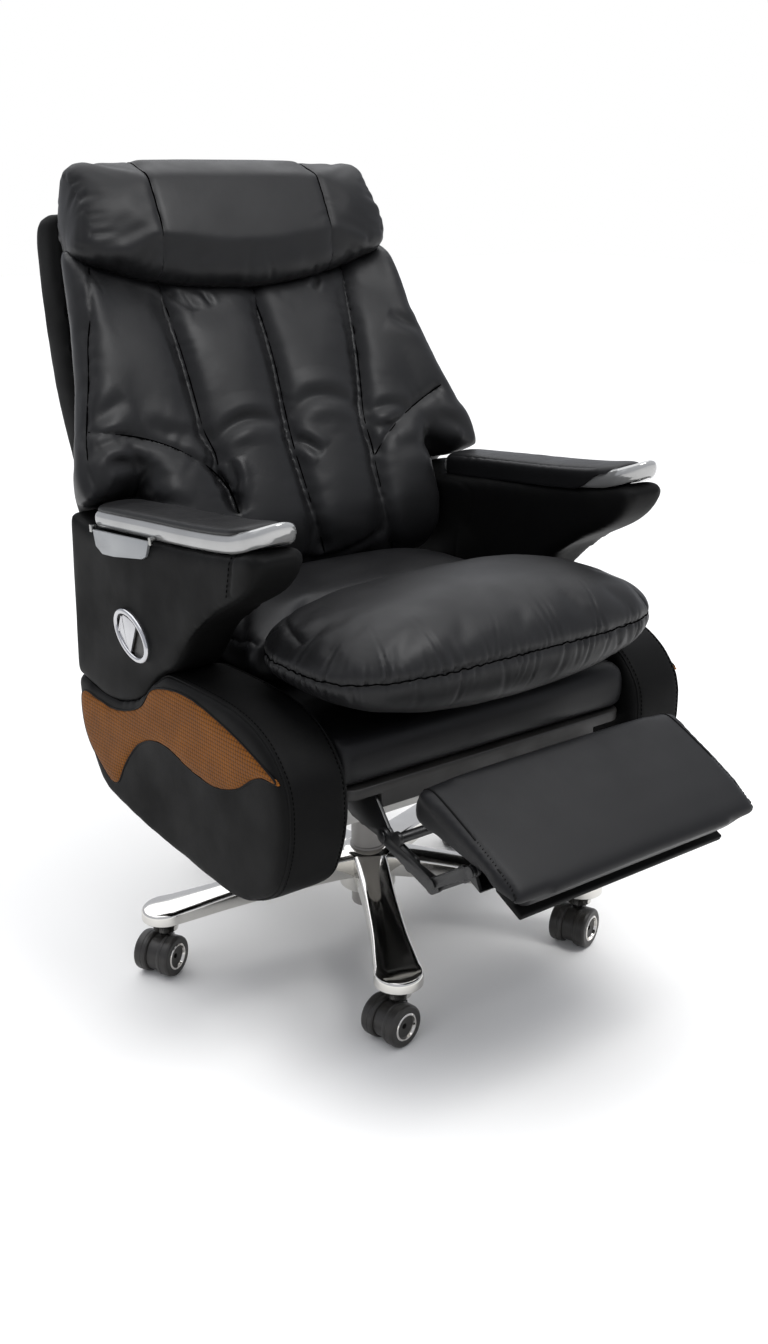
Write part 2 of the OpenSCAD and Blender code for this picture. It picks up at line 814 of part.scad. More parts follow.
module trim() {
    last = len(trim_rise_share) - 1;
    color(chrome)
        difference() {
            intersection() {
                linear_extrude(2 * trim_low_z)
                    arm_plan_outline(trim_w, trim_rear_y, trim_len);
                side_plate(-arm_x - trim_w, 2 * trim_w)
                    polygon(concat(trim_line(0, 0, last - 1),
                        [[trim_rear_y - trim_len, trim_low_z + trim_tilt_z]],
                        trim_line(trim_h, last - 1, 0)));
            }
            intersection() {
                linear_extrude(2 * trim_low_z)
                    arm_plan_outline(arm_pad_w, arm_pad_rear_y, arm_pad_len);
                side_plate(-arm_x - trim_w, 2 * trim_w)
                    polygon(concat(trim_line(trim_h - pocket_d, 0, last), trim_line(2 * trim_h, last, 0)));
            }
        }
}

// Height of the trim's line at y, for the pad that lies on it
function trim_z(y) = trim_low_z + trim_tilt_z
    * lookup((trim_rear_y - y) / trim_len, trim_rise_share);

arm_pad_share = [0.004, 0.02, 0.06, 0.13, 0.25, 0.4, 0.55, 0.7, 0.82, 0.9, 0.95, 0.98, 0.996];

module arm_pad() {
    half_w = arm_pad_w / 2 - seat_gap;
    color(leather)
        skin([for (s = arm_pad_share)
            let (y = arm_pad_rear_y - seat_gap - s * (arm_pad_len - 2 * seat_gap),
                front = max(0, 1 - (1 - s) * arm_pad_len / half_w),
                rear = max(0, 1 - s * arm_pad_len / half_w * 2),
                round = sqrt(1 - pow(max(front, rear), 2)),
                wide = half_w * (front > 0 ? round : 0.5 + 0.5 * round),
                floor_z = trim_z(y) + trim_h - pocket_d + seat_gap,
                high = (pocket_d + arm_pad_rise) * (0.55 + 0.45 * round))
            [for (k = [0:15])
                let (a = k * 360 / 16)
                [-arm_x + power(cos(a), 0.55) * wide, y,
                floor_z + high / 2 + power(sin(a), sin(a) > 0 ? 0.6 : 0.3) * high / 2]]]);
}

// Release handle: an oval bezel on the right panel round a flap that turns on a thin pin
function oval(a, b) = [for (k = [0:47]) [a * cos(k * 7.5), b * sin(k * 7.5)]];
flap_gap = 1.2;
flap_front_share = 0.22;
flap_hinge_share = 0.74;
flap_t = 3;
flap_pin_r = 1.2;
knuckle_r = 2.4;
recess_d = bezel_h - insert_t;
oval_a = bezel_a - bezel_rim;
oval_b = bezel_b - bezel_rim;
flap_hinge = flap_hinge_share * oval_a;
flap_pin_h = recess_d / 2;

// Local x runs to the rear along the oval, y up and z inwards from the bezel's face
module at_bezel() {
    translate([-panel_x - bezel_h, bezel_y, bezel_z])
        rotate([90, 0, 90])
            rotate(bezel_tilt)
                children();
}

module flap_rod(r, half_len) {
    translate([flap_hinge, half_len, flap_pin_h])
        rotate([90, 0, 0])
            cylinder(r = r, h = 2 * half_len);
}

module handle_bezel() {
    color(chrome)
        at_bezel() {
            difference() {
                linear_extrude(bezel_h)
                    polygon(oval(bezel_a, bezel_b));
                translate([0, 0, -cut])
                    linear_extrude(recess_d + cut)
                        intersection() {
                            polygon(oval(oval_a, oval_b));
                            translate([-oval_a, -oval_b])
                                square([oval_a + flap_hinge + knuckle_r + flap_gap / 2, 2 * oval_b]);
                        }
            }
            flap_rod(flap_pin_r, oval_b);
        }
}

module handle_flap() {
    face_z = flap_pin_h - flap_t / 2;
    half_len = (oval_b - flap_gap) * sqrt(1 - flap_hinge_share * flap_hinge_share) - 2 * flap_gap;
    color(chrome)
        at_bezel()
            difference() {
                union() {
                    translate([0, 0, face_z])
                        linear_extrude(flap_t)
                            intersection() {
                                polygon(oval(oval_a - flap_gap, oval_b - flap_gap));
                                translate([-flap_front_share * oval_a, -oval_b])
                                    square([flap_front_share * oval_a + flap_hinge - knuckle_r, 2 * oval_b]);
                            }
                    translate([flap_hinge - 2 * knuckle_r, -half_len, face_z])
                        cube([2 * knuckle_r, 2 * half_len, flap_t]);
                    flap_rod(knuckle_r, half_len);
                }
                flap_rod(flap_pin_r + running_clear, oval_b);
            }
}

// Lift paddle: a flat tab that hangs on a steel pin beside the rear of the right arm trim
paddle_share = [[0.02, 1], [0.05, 0.3], [0.16, 0], [0.36, 0], [0.86, 0.2], [0.93, 0.34], [1, 1]];
paddle_inset = 12;
paddle_stand = 0.8;
paddle_pin_r = 1.2;
paddle_lug = 6;
paddle_rear_y = trim_rear_y - paddle_inset;
paddle_tilt = atan2(trim_rise_share[1][1] * trim_tilt_z, trim_rise_share[1][0] * trim_len);
paddle_x = -panel_x - paddle_stand - paddle_t;

// Local x runs forwards to aft along the tab's upper edge, y up and z inwards from its face
module at_paddle() {
    translate([paddle_x, paddle_rear_y, trim_z(paddle_rear_y) - seat_gap])
        rotate([90, 0, 90])
            rotate(-paddle_tilt)
                children();
}

module paddle_rod(r) {
    translate([-paddle_len - paddle_lug, -paddle_t / 2, paddle_t / 2])
        rotate([0, 90, 0])
            cylinder(r = r, h = paddle_len + 2 * paddle_lug);
}

module height_paddle() {
    color(chrome)
        at_paddle()
            difference() {
                linear_extrude(paddle_t)
                    polygon([for (s = paddle_share) [-s[0] * paddle_len, (s[1] - 1) * paddle_drop]]);
                paddle_rod(paddle_pin_r + running_clear);
            }
}

module paddle_pin() {
    color(steel)
        at_paddle() {
            paddle_rod(paddle_pin_r);
            for (x = [seat_gap, -paddle_len - seat_gap - paddle_lug]) {
                translate([x, -paddle_t, 0])
                    cube([paddle_lug, paddle_t + paddle_lug, paddle_t]);
                translate([x, seat_gap, 0])
                    cube([paddle_lug, paddle_lug - seat_gap, -arm_x - trim_w / 2 - paddle_x]);
            }
        }
}

// Recline hinge: fixed plates on the rails and swinging arms that carry the back
hinge_boss_r = hinge_pin_r + 2.5 * hinge_t;
hinge_foot_len = 90;

module hinge_plates() {
    color(steel)
        both_sides()
            side_plate(rail_x, hinge_t)
                difference() {
                    union() {
                        translate([hinge_y, hinge_z])
                            circle(r = hinge_boss_r);
                        translate([hinge_y - hinge_boss_r, rail_low_z])
                            square([2 * hinge_boss_r, hinge_z - rail_low_z]);
                        translate([rail_rear_y - hinge_foot_len, rail_low_z])
                            square([hinge_foot_len, rail_h - seat_gap]);
                    }
                    translate([hinge_y, hinge_z])
                        circle(r = hinge_pin_r);
                }
}

module hinge_pins() {
    color(steel)
        both_sides() {
            translate([rail_x - hinge_t, hinge_y, hinge_z])
                rotate([0, 90, 0])
                    cylinder(r = hinge_pin_r, h = 3 * hinge_t + bar_gap);
            translate([rail_x - hinge_t, hinge_y, hinge_z])
                rotate([0, 90, 0])
                    cylinder(r = 1.5 * hinge_pin_r, h = hinge_t);
        }
}

arm_foot_low_share = 0.03;
arm_foot_high_share = 0.088;
arm_foot_t = 34;

// Point on the shell's front face at a share of its height, one gap in front of it
function shell_front(s) = [shell_line(shell_low_z + s * shell_h), shell_low_z + s * shell_h];

module back_arms() {
    low = shell_front(arm_foot_low_share);
    high = shell_front(arm_foot_high_share);
    color(steel)
        both_sides()
            difference() {
                union() {
                    side_plate(rail_x + hinge_t + bar_gap, hinge_t)
                        union() {
                            translate([hinge_y, hinge_z])
                                circle(r = hinge_boss_r);
                            polygon([[hinge_y - hinge_boss_r * sin(40), hinge_z + hinge_boss_r * cos(40)],
                                high - [arm_foot_t, 0], high, low, low - [4 * hinge_t, arm_foot_t],
                                [hinge_y + hinge_boss_r * sin(40), hinge_z - hinge_boss_r * cos(40)]]);
                        }
                    side_plate(rail_x + hinge_t + bar_gap - rail_w, rail_w + hinge_t)
                        polygon([high - [hinge_t, 0], high, low, low - [hinge_t, 0]]);
                }
                translate([rail_x, hinge_y, hinge_z])
                    rotate([0, 90, 0])
                        cylinder(r = hinge_pin_r + running_clear, h = 3 * hinge_t);
            }
}

// Back: a padded shell behind a channelled cushion, with a headrest roll on top
shell_front_share = [[0.655, 1], [0.652, 0.92], [0.64, 0.84], [0.595, 0.7], [0.51, 0.56], [0.395, 0.42],
    [0.29, 0.31], [0.175, 0.2], [0.08, 0.1], [0.044, 0.055], [0.016, 0.02], [0, 0]];
shell_rear_share = [[0.12, -0.004], [0.26, 0], [0.3, 0.01], [0.375, 0.08], [0.5, 0.19], [0.7, 0.37],
    [0.815, 0.5], [0.915, 0.66], [0.965, 0.77], [1, 0.9], [0.99, 0.97], [0.9, 1.002], [0.78, 1.004]];
shell_points = scaled(concat(shell_front_share, shell_rear_share), [shell_front_y, shell_low_z],
    [shell_lean, shell_h]);
shell_outline = closed_curve(shell_points, 2);
shell_face = [for (k = [2 * (len(shell_front_share) - 1):-1:0]) [shell_outline[k][1], shell_outline[k][0]]];

module back_shell() {
    color(leather)
        padded_slab(shell_outline, -shell_half_w, function(y) shell_half_w, shell_edge);
}

// Cushion: vertical rings across its width, with sewn channels and a wing over each armrest
cushion_x_share = [0.04, 0.1, 0.19, 0.27, 0.335, 0.37, 0.405, 0.44, 0.475, 0.51, 0.58, 0.66, 0.715];
wing_x_share = [0.735, 0.79, 0.85, 0.9, 0.94, 0.975, 0.995];
wing_top_share = [[0.79, 1], [0.85, 0.71], [0.9, 0.42], [0.94, 0.27], [0.975, 0.14], [1, 0.05]];
wing_forward_share = 0.66;
pad_least_t = 1;
cushion_v_share = [0.006, 0.03, 0.08, 0.17, 0.28, 0.4, 0.52, 0.64, 0.76, 0.87, 0.95, 0.985];

function shell_line(z) = lookup(z, shell_face) - seat_gap;
function front_line(z) = back_front_y + (z - back_low_z) * tan(back_lean);
function upper_seam(x) = back_top_z + seam_rise * pow(min(1, abs(x) / shell_half_w), 2);
function top_at(x) = wing_z + (upper_seam(x) - wing_z) * lookup(abs(x) / back_half_w, wing_top_share);

// The cushion lies on the shell; beyond the shell its rear comes forward to the wings' edges
function rear_line(x, z) = shell_line(z) - max(0, abs(x) - back_inner_w) / (back_half_w - back_inner_w)
    * (shell_line(z) - front_line(z)) * wing_forward_share;
function channel_x(z) = channel_low_x
    + (channel_top_x - channel_low_x) * (z - back_low_z) / (back_top_z - back_low_z);
function valley(x, c) = exp(-pow((x - c) / channel_w, 2) * 2);
function cushion_y(x, z, v) =
    let (rear = rear_line(x, z), thick = rear - front_line(z),
        round = crown(2 * v - 1, 7, 0.34) * crown(x / back_half_w, 14, 0.42))
    rear - pad_least_t - thick * round
        + channel_d * (valley(x, 0) + valley(abs(x), channel_x(z))) * crown(2 * v - 1, 4, 0.5);

function cushion_ring(x, low_z) =
    let (high_z = top_at(x) - seat_gap)
    concat(
        [for (v = cushion_v_share) let (z = low_z + v * (high_z - low_z)) [x, rear_line(x, z) - seat_gap, z]],
        [for (k = [len(cushion_v_share) - 1:-1:0])
            let (v = cushion_v_share[k], z = low_z + v * (high_z - low_z)) [x, cushion_y(x, z, v), z]]);

module back_cushion() {
    half = concat(
        [for (s = cushion_x_share) cushion_ring(s * back_half_w, back_low_z)],
        [cushion_ring(back_inner_w, back_low_z)],
        [for (s = wing_x_share) cushion_ring(s * back_half_w, wing_z)]);
    other = [for (k = [len(half) - 1:-1:0]) [for (p = half[k]) [-p[0], p[1], p[2]]]];
    color(leather)
        skin(concat(other, [cushion_ring(0, back_low_z)], half));
}

head_turns = [for (k = [0:23]) k * 15];
head_corner_drop = 18;

module headrest() {
    shell_top = shell_front(1)[0];
    color(leather)
        skin([for (s = pad_x_share)
            let (x = s * head_half_w, low = upper_seam(x) + seat_gap,
                high = head_top_z - head_corner_drop * pow(abs(s), 4),
                half_h = (high - low) / 2, mid_z = low + half_h, round = crown(s, 8, 0.3))
            [for (a = head_turns)
                let (z = mid_z + power(sin(a), 0.62) * half_h * (0.7 + 0.3 * round),
                    rear = min(shell_top, shell_line(z)) - 2 * seat_gap,
                    front = front_line(z) - head_bulge,
                    deep = power(cos(a), 0.6) * (rear - front) / 2 * (0.3 + 0.7 * round))
                [x, (rear + front) / 2 + deep, z]]]);
}

// Footrest linkage: parallel swing and guide arms carry a coupler, and a pad link turns the footrest
crank = [crank_y, crank_z];
elbow = [elbow_y, elbow_z];
toe = [toe_y, toe_z];
guide_shift = [guide_back, guide_up];
bar_len = norm(elbow - crank);
bar_dir = (elbow - crank) / bar_len;
bar_up = [-bar_dir[1], bar_dir[0]] * -1;
guide_x = rail_x - bar_t - bar_gap;
swing_x = rail_x + bar_t + bar_gap;
pad_link_x = swing_x + bar_t + bar_gap;
link_ear = [-9, 8.5];
link_foot = [-26, 17.5];
ear_pivot = elbow + link_ear;
foot_pivot = toe + link_foot;
cross_along = 25;
cross_rise = 14;
cross_foot = crank + bar_dir * cross_along;
cross_pivot = cross_foot + bar_up * cross_rise;
bracket_width_share = 1.1;
slim_share = 0.7;
cross_ear_share = 0.9;
pivot_clear = 1.9;

module bores(places, x0, x1, r) {
    for (p = places)
        translate([x0, p[0], p[1]])
            rotate([0, 90, 0])
                cylinder(r = r, h = x1 - x0);
}

module link_brackets() {
    color(steel)
        both_sides() {
            side_plate(rail_x, bar_t)
                union() {
                    eye(crank, bracket_width_share * bar_w);
                    eye(crank + guide_shift, bracket_width_share * bar_w);
                    waist(crank, crank + guide_shift, bracket_width_share * bar_w);
                    polygon([crank + [-bar_w / 3, bar_w / 3], crank + [0, -bar_w / 2],
                        crank + guide_shift + [bar_w, -bar_w / 3], [cross_y, rail_low_z],
                        [cross_y, rail_top_z - seat_gap], [rail_front_y, rail_top_z - seat_gap]]);
                }
            rivet(crank, rail_x, swing_x + bar_t + bar_t / 2, true);
            rivet(crank + guide_shift, guide_x - bar_t / 2, rail_x + bar_t / 2, false);
        }
}

module swing_arms() {
    color(steel)
        both_sides() {
            difference() {
                side_plate(swing_x, bar_t)
                    union() {
                        eye(crank, bar_w);
                        waist(crank, elbow, bar_w);
                        eye(elbow, bar_w);
                        waist(elbow, ear_pivot, slim_share * bar_w);
                        eye(ear_pivot, slim_share * bar_w);
                        waist(cross_foot, cross_pivot, cross_ear_share * bar_w);
                        eye(cross_pivot, cross_ear_share * bar_w);
                    }
                bores([crank], swing_x - cut, swing_x + 2 * bar_t, pin_r + running_clear);
            }
            rivet(elbow, rail_x - bar_t / 2, swing_x + bar_t / 2, false);
            rivet(ear_pivot, swing_x + bar_t / 2, pad_link_x + bar_t + bar_t / 2, true);
        }
}

module cross_tube() {
    color(steel)
        difference() {
            translate([-swing_x, cross_pivot[0], cross_pivot[1]])
                rotate([0, 90, 0])
                    cylinder(r = cross_r, h = 2 * swing_x);
            translate([-swing_x - cut, cross_pivot[0], cross_pivot[1]])
                rotate([0, 90, 0])
                    cylinder(r = cross_r - rail_wall, h = 2 * swing_x + 2 * cut);
        }
}

module guide_arms() {
    color(steel)
        both_sides() {
            difference() {
                side_plate(guide_x, bar_t)
                    union() {
                        eye(crank + guide_shift, bar_w);
                        waist(crank + guide_shift, elbow + guide_shift, bar_w);
                        eye(elbow + guide_shift, bar_w);
                    }
                bores([crank + guide_shift], guide_x - cut, rail_x, pin_r + running_clear);
            }
            rivet(elbow + guide_shift, guide_x - bar_t / 2, rail_x + bar_t, false);
        }
}

module couplers() {
    color(steel)
        both_sides() {
            difference() {
                side_plate(rail_x, bar_t)
                    union() {
                        eye(toe, bar_w);
                        waist(elbow, toe, bar_w);
                        eye(elbow, bar_w);
                        waist(elbow, elbow + guide_shift, bar_w);
                        eye(elbow + guide_shift, bar_w);
                    }
                bores([elbow], rail_x - cut, swing_x, pin_r + running_clear);
                bores([elbow + guide_shift], rail_x - cut, swing_x, pin_r + seat_gap);
            }
            rivet(toe, rail_x - bar_t / 2, swing_x + bar_t, false);
        }
}

module pad_links() {
    color(steel)
        both_sides()
            difference() {
                side_plate(pad_link_x, bar_t)
                    union() {
                        eye(ear_pivot, slim_share * bar_w);
                        waist(ear_pivot, foot_pivot, slim_share * bar_w);
                        eye(foot_pivot, slim_share * bar_w);
                    }
                bores([ear_pivot], pad_link_x - cut, pad_link_x + 2 * bar_t, pin_r + running_clear);
                bores([foot_pivot], pad_link_x - cut, pad_link_x + 2 * bar_t, pin_r + pivot_clear);
            }
}

// Footrest: a tapered pad on a board, carried by a bracket on each side
foot_dir = [-cos(foot_slope), -sin(foot_slope)];
foot_up = [-foot_dir[1], foot_dir[0]] * -1;
foot_top = [foot_rear_y, foot_rear_z];
foot_x_share = [-1, -0.985, -0.94, -0.8, -0.5, 0, 0.5, 0.8, 0.94, 0.985, 1];
foot_outline_share = [[0.02, -0.16], [0.05, -0.02], [0.25, 0.03], [0.5, 0.04], [0.75, 0.02], [0.93, -0.03],
    [0.985, -0.1],
    [1, -0.2], [0.98, -0.3], [0.9, -0.37], [0.7, -0.51], [0.5, -0.66], [0.3, -0.82], [0.1, -0.98],
    [0.04, -0.93], [0.01, -0.75], [0, -0.5], [0.005, -0.3]];
foot_middle_share = [0.5, -0.4];
board_share = [[0.2, -0.9], [0.84, -0.412], [0.86, -0.95], [0.95, -0.95]];
recess_share = [[0.2, -1.02], [0.7, -1.02]];
flange_share = [[0.56, -1.02], [0.69, -1.02]];

// Place in the side plane of a share of the footrest's length and of its thickness
function on_foot(s) = foot_top + foot_dir * s[0] * foot_len + foot_up * s[1] * foot_rear_t;

module footrest_pad() {
    middle = foot_middle_share;
    color(leather)
        skin([for (s = foot_x_share)
            let (round = crown(s, 12, 0.35))
            [for (p = foot_outline_share)
                let (crest = p[1] > -0.25 ? 0.06 * (crown(s, 2, 1) - 1) : 0,
                    q = middle + (p - middle) * (0.93 + 0.07 * round) + [0, crest],
                    y_z = on_foot(q), half_w = foot_rear_w + (foot_front_w - foot_rear_w) * p[0])
                [s * half_w, y_z[0], y_z[1]]]]);
}

board_gap = seat_gap;
flange_w = 24;

// Place in the side plane just under the pad, so that the board keeps clear of its leather
function on_board(s) = on_foot(s) - foot_up * board_gap;

module footrest_board() {
    low = foot_up * foot_board_t;
    front = on_board(board_share[3]);
    step = on_board([recess_share[1][0], board_share[3][1]]);
    color(leather)
        side_plate(-foot_board_w, 2 * foot_board_w)
            polygon(concat([for (s = board_share) on_board(s)],
                [front - low, step - low, on_board(recess_share[1]), on_board(recess_share[0])]));
}

module pad_brackets() {
    rear = on_board(flange_share[0]);
    front = on_board(flange_share[1]);
    low = foot_up * bar_t / 2;
    color(steel)
        both_sides() {
            difference() {
                side_plate(swing_x, bar_t)
                    union() {
                        eye(toe, slim_share * bar_w);
                        waist(toe, foot_pivot, slim_share * bar_w);
                        eye(foot_pivot, slim_share * bar_w);
                        polygon([toe, rear - low / 2, front - low / 2, foot_pivot]);
                    }
                bores([toe], swing_x - cut, swing_x + 2 * bar_t, pin_r + running_clear);
            }
            side_plate(foot_board_w - flange_w, swing_x + bar_t / 2 - foot_board_w + flange_w)
                polygon([rear, front, front - low, rear - low]);
            rivet(foot_pivot, swing_x + bar_t / 2, pad_link_x + bar_t + bar_t / 2, true);
        }
}

star_base();
caster_stems();
gas_tube();
gas_piston();
caster_fork(0);  // caster_1_fork
caster_axle(0);  // caster_1_axle
caster_wheels(0);  // caster_1_wheels
caster_rings(0);  // caster_1_rings
caster_fork(1);  // caster_2_fork
caster_axle(1);  // caster_2_axle
caster_wheels(1);  // caster_2_wheels
caster_rings(1);  // caster_2_rings
caster_fork(2);  // caster_3_fork
caster_axle(2);  // caster_3_axle
caster_wheels(2);  // caster_3_wheels
caster_rings(2);  // caster_3_rings
caster_fork(3);  // caster_4_fork
caster_axle(3);  // caster_4_axle
caster_wheels(3);  // caster_4_wheels
caster_rings(3);  // caster_4_rings
caster_fork(4);  // caster_5_fork
caster_axle(4);  // caster_5_axle
caster_wheels(4);  // caster_5_wheels
caster_rings(4);  // caster_5_rings
tilt_housing();
mounting_rails();
cross_plate();
seat_board();
base_pad();
seat_pad();
front_pillow();
panel();  // right_panel
on_left() panel();  // left_panel
insert();  // right_insert
on_left() insert();  // left_insert
armrest();  // right_armrest
on_left() armrest();  // left_armrest
trim();  // right_trim
on_left() trim();  // left_trim
arm_pad();  // right_arm_pad
on_left() arm_pad();  // left_arm_pad
handle_bezel();
handle_flap();
height_paddle();
paddle_pin();
hinge_plates();
hinge_pins();
back_arms();
back_shell();
back_cushion();
headrest();
link_brackets();
swing_arms();
cross_tube();
guide_arms();
couplers();
pad_links();
pad_brackets();
footrest_board();
footrest_pad();
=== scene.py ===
import math

import bmesh
import bpy
import numpy as np
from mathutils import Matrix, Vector
from mathutils.bvhtree import BVHTree


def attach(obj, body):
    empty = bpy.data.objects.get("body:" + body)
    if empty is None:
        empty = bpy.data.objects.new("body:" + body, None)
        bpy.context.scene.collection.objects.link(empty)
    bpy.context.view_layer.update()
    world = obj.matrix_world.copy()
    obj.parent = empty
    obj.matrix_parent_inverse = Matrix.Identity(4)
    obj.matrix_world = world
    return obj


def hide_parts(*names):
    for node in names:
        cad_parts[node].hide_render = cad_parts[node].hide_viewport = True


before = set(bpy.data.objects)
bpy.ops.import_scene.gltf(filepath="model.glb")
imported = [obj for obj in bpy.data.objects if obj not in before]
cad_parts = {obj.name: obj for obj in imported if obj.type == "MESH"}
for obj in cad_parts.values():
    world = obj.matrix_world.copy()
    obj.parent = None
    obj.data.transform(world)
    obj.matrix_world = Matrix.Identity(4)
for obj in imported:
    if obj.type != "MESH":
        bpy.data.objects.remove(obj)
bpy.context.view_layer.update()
scene = bpy.context.scene
MM = 0.001
SIDES = ((-1, "right"), (1, "left"))


# Studio: the photograph's view from the chair's front right over a pale floor, under a broad soft
# ceiling and a softbox high in front, so that the near side of the leather stays dark.
VIEW_TURN = math.radians(-37.84)
VIEW_DROP = math.radians(18.95)
LENS = 39.06
ROOM_LIGHT = 0.7
SKY_LIGHT = 2.2
SKY_SPREAD = math.radians(84)
FRONT_LIGHT, NEAR_LIGHT = 44, 2
FLOOR_HALF = 14.0


def feed(tree, node, inputs):
    """Gives each named input of a node a value or the socket that feeds it."""
    for name, value in inputs.items():
        if isinstance(value, bpy.types.NodeSocket):
            tree.links.new(value, node.inputs[name])
        else:
            node.inputs[name].default_value = value


def add(tree, kind, inputs=None, **properties):
    """Adds a node with its properties and inputs."""
    node = tree.nodes.new(kind)
    for name, value in properties.items():
        setattr(node, name, value)
    feed(tree, node, inputs or {})
    return node


def srgb(hex_colour):
    """Linear colour of an sRGB hex value."""
    parts = [int(hex_colour[i:i + 2], 16) / 255 for i in (1, 3, 5)]
    return [p / 12.92 if p <= 0.04045 else ((p + 0.055) / 1.055) ** 2.4 for p in parts] + [1.0]


def blank_material(name):
    """A material with an empty tree, its shader and the object's own coordinates."""
    material = bpy.data.materials.new(name)
    material.use_nodes = True
    tree = material.node_tree
    tree.nodes.clear()
    shader = add(tree, "ShaderNodeBsdfPrincipled")
    add(tree, "ShaderNodeOutputMaterial", {"Surface": shader.outputs["BSDF"]})
    place = add(tree, "ShaderNodeTexCoord").outputs["Object"]
    return material, tree, shader, place


def coat(material, shader, tint, gloss, relief, specular=0.5, metallic=0.0):
    """Joins a finish's colour, gloss and relief to its shader, which makes the material whole."""
    feed(material.node_tree, shader, {
        "Base Color": tint.outputs[2], "Roughness": gloss.outputs["Result"], "Normal": relief.outputs["Normal"],
        "Specular IOR Level": specular, "Metallic": metallic})
    return material


back_way = Vector((math.sin(VIEW_TURN) * math.cos(VIEW_DROP), -math.cos(VIEW_TURN) * math.cos(VIEW_DROP),
                   math.sin(VIEW_DROP)))
camera = bpy.data.objects.new("camera", bpy.data.cameras.new("camera"))
camera.data.lens = LENS
camera.location = (-1.2292, -1.6234, 1.1078)
camera.rotation_mode = "QUATERNION"
camera.rotation_quaternion = (-back_way).to_track_quat("-Z", "Y")
scene.collection.objects.link(camera)
scene.camera = camera
scene.view_settings.view_transform = "Standard"
scene.view_settings.look = "None"

world = bpy.data.worlds.new("studio")
world.use_nodes = True
world.node_tree.nodes.clear()
scene.world = world
ray_kind = add(world.node_tree, "ShaderNodeLightPath")
room = add(world.node_tree, "ShaderNodeBackground", {"Color": srgb("#f4f7ff"), "Strength": ROOM_LIGHT})
paper = add(world.node_tree, "ShaderNodeBackground", {"Color": srgb("#ffffff"), "Strength": 1.0})
world_mix = add(world.node_tree, "ShaderNodeMixShader", {
    0: ray_kind.outputs["Is Camera Ray"], 1: room.outputs[0], 2: paper.outputs[0]})
add(world.node_tree, "ShaderNodeOutputWorld", {"Surface": world_mix.outputs[0]})


def lamp(name, kind, place, aim, energy, **sizes):
    """A light at a place, turned towards its aim."""
    light = bpy.data.lights.new(name, kind)
    light.energy = energy
    for key, value in sizes.items():
        setattr(light, key, value)
    holder = bpy.data.objects.new(name, light)
    holder.location = place
    holder.rotation_mode = "QUATERNION"
    holder.rotation_quaternion = (Vector(aim) - Vector(place)).to_track_quat("-Z", "Y")
    scene.collection.objects.link(holder)


lamp("ceiling", "SUN", (0.5, 1.5, 4.0), (0, 0, 0), SKY_LIGHT, angle=SKY_SPREAD)
lamp("softbox_front", "AREA", (0.6, -1.6, 3.0), (0, -0.1, 0.6), FRONT_LIGHT, shape="RECTANGLE", size=1.3, size_y=1.0)
lamp("softbox_near", "AREA", (-2.4, 0.2, 2.4), (0, 0, 0.7), NEAR_LIGHT, shape="RECTANGLE", size=1.2, size_y=1.2)

# Painted floor: matte and white, with the faintest mottling.
floor_paint, tree, shader, place = blank_material("floor_paint")
mottle = add(tree, "ShaderNodeTexNoise", {"Vector": place, "Scale": 1.5, "Detail": 3.0})
tint = add(tree, "ShaderNodeMix", {0: mottle.outputs["Fac"], 6: srgb("#f3f2ef"), 7: srgb("#f7f6f4")},
           data_type="RGBA")
feed(tree, shader, {"Base Color": tint.outputs[2], "Roughness": 0.9, "Specular IOR Level": 0.15})

floor_mesh = bpy.data.meshes.new("floor")
floor_mesh.from_pydata([(x * FLOOR_HALF, y * FLOOR_HALF, 0) for x, y in ((-1, -1), (1, -1), (1, 1), (-1, 1))], [],
                       [(0, 1, 2, 3)])
floor_mesh.materials.append(floor_paint)
studio_floor = bpy.data.objects.new("floor", floor_mesh)
scene.collection.objects.link(studio_floor)


# Star base: a five-armed aluminium pressure casting, ground and polished to a mirror on its
# outside, hollow and ribbed underneath, with a bored hub and a collar under each tip.
ARM_TURNS = [-120 + 72 * k for k in range(5)]
STEM_CIRCLE = 326
TIP_R = 34
ARM_START = 27
ARM_HALF = [(27, 26), (90, 24.6), (150, 24), (235, 26), (285, 29.8), (315, 32.2)]
ARM_TOP = [(0, 127.6), (29, 127.4), (60, 126.2), (108, 122), (160, 117), (216, 111.4), (270, 106), (306, 102.8),
           (335, 100.8), (361, 98.6)]
ARM_LOW = [(0, 90), (60, 91), (108, 90), (216, 85), (306, 81), (361, 80)]
ARM_CROWN = 2.4
ARM_EDGE = 4.5
CAST_WALL = 4
RIB_PLACES, RIB_HALF = [64, 124, 183, 241, 292], 1.6
HUB_PROFILE = [(25.3, 66), (41, 66), (43, 68), (43, 119), (42, 124), (39, 127.6), (34, 129.4), (27, 130), (25.3, 130)]
COLLAR_PROFILE = [(5.7, 62), (16.6, 62), (18, 63.2), (18.6, 67), (20.6, 73), (24, 79), (27.5, 82.5), (28.5, 86),
                  (28.5, 91), (5.7, 91)]


def smooth_line(points, steps, closed=False):
    """Smooth line through the points, with a number of steps for each stretch."""
    p = np.asarray(points, float)
    n = len(p)
    t = (np.arange(steps) / steps)[:, None]
    line = []
    for i in range(n if closed else n - 1):
        a, b, c, d = (p[(i + k) % n] if closed else p[min(max(i + k, 0), n - 1)] for k in (-1, 0, 1, 2))
        line.append((2 * b + (c - a) * t + (2 * a - 5 * b + 4 * c - d) * t ** 2
                     + (3 * b - a - 3 * c + d) * t ** 3) / 2)
    if not closed:
        line.append(p[-1:])
    return np.concatenate(line)


def along(table, x):
    """Value at x of a smooth line through (x, value) pairs."""
    line = smooth_line(table, 8)
    return np.interp(x, line[:, 0], line[:, 1])


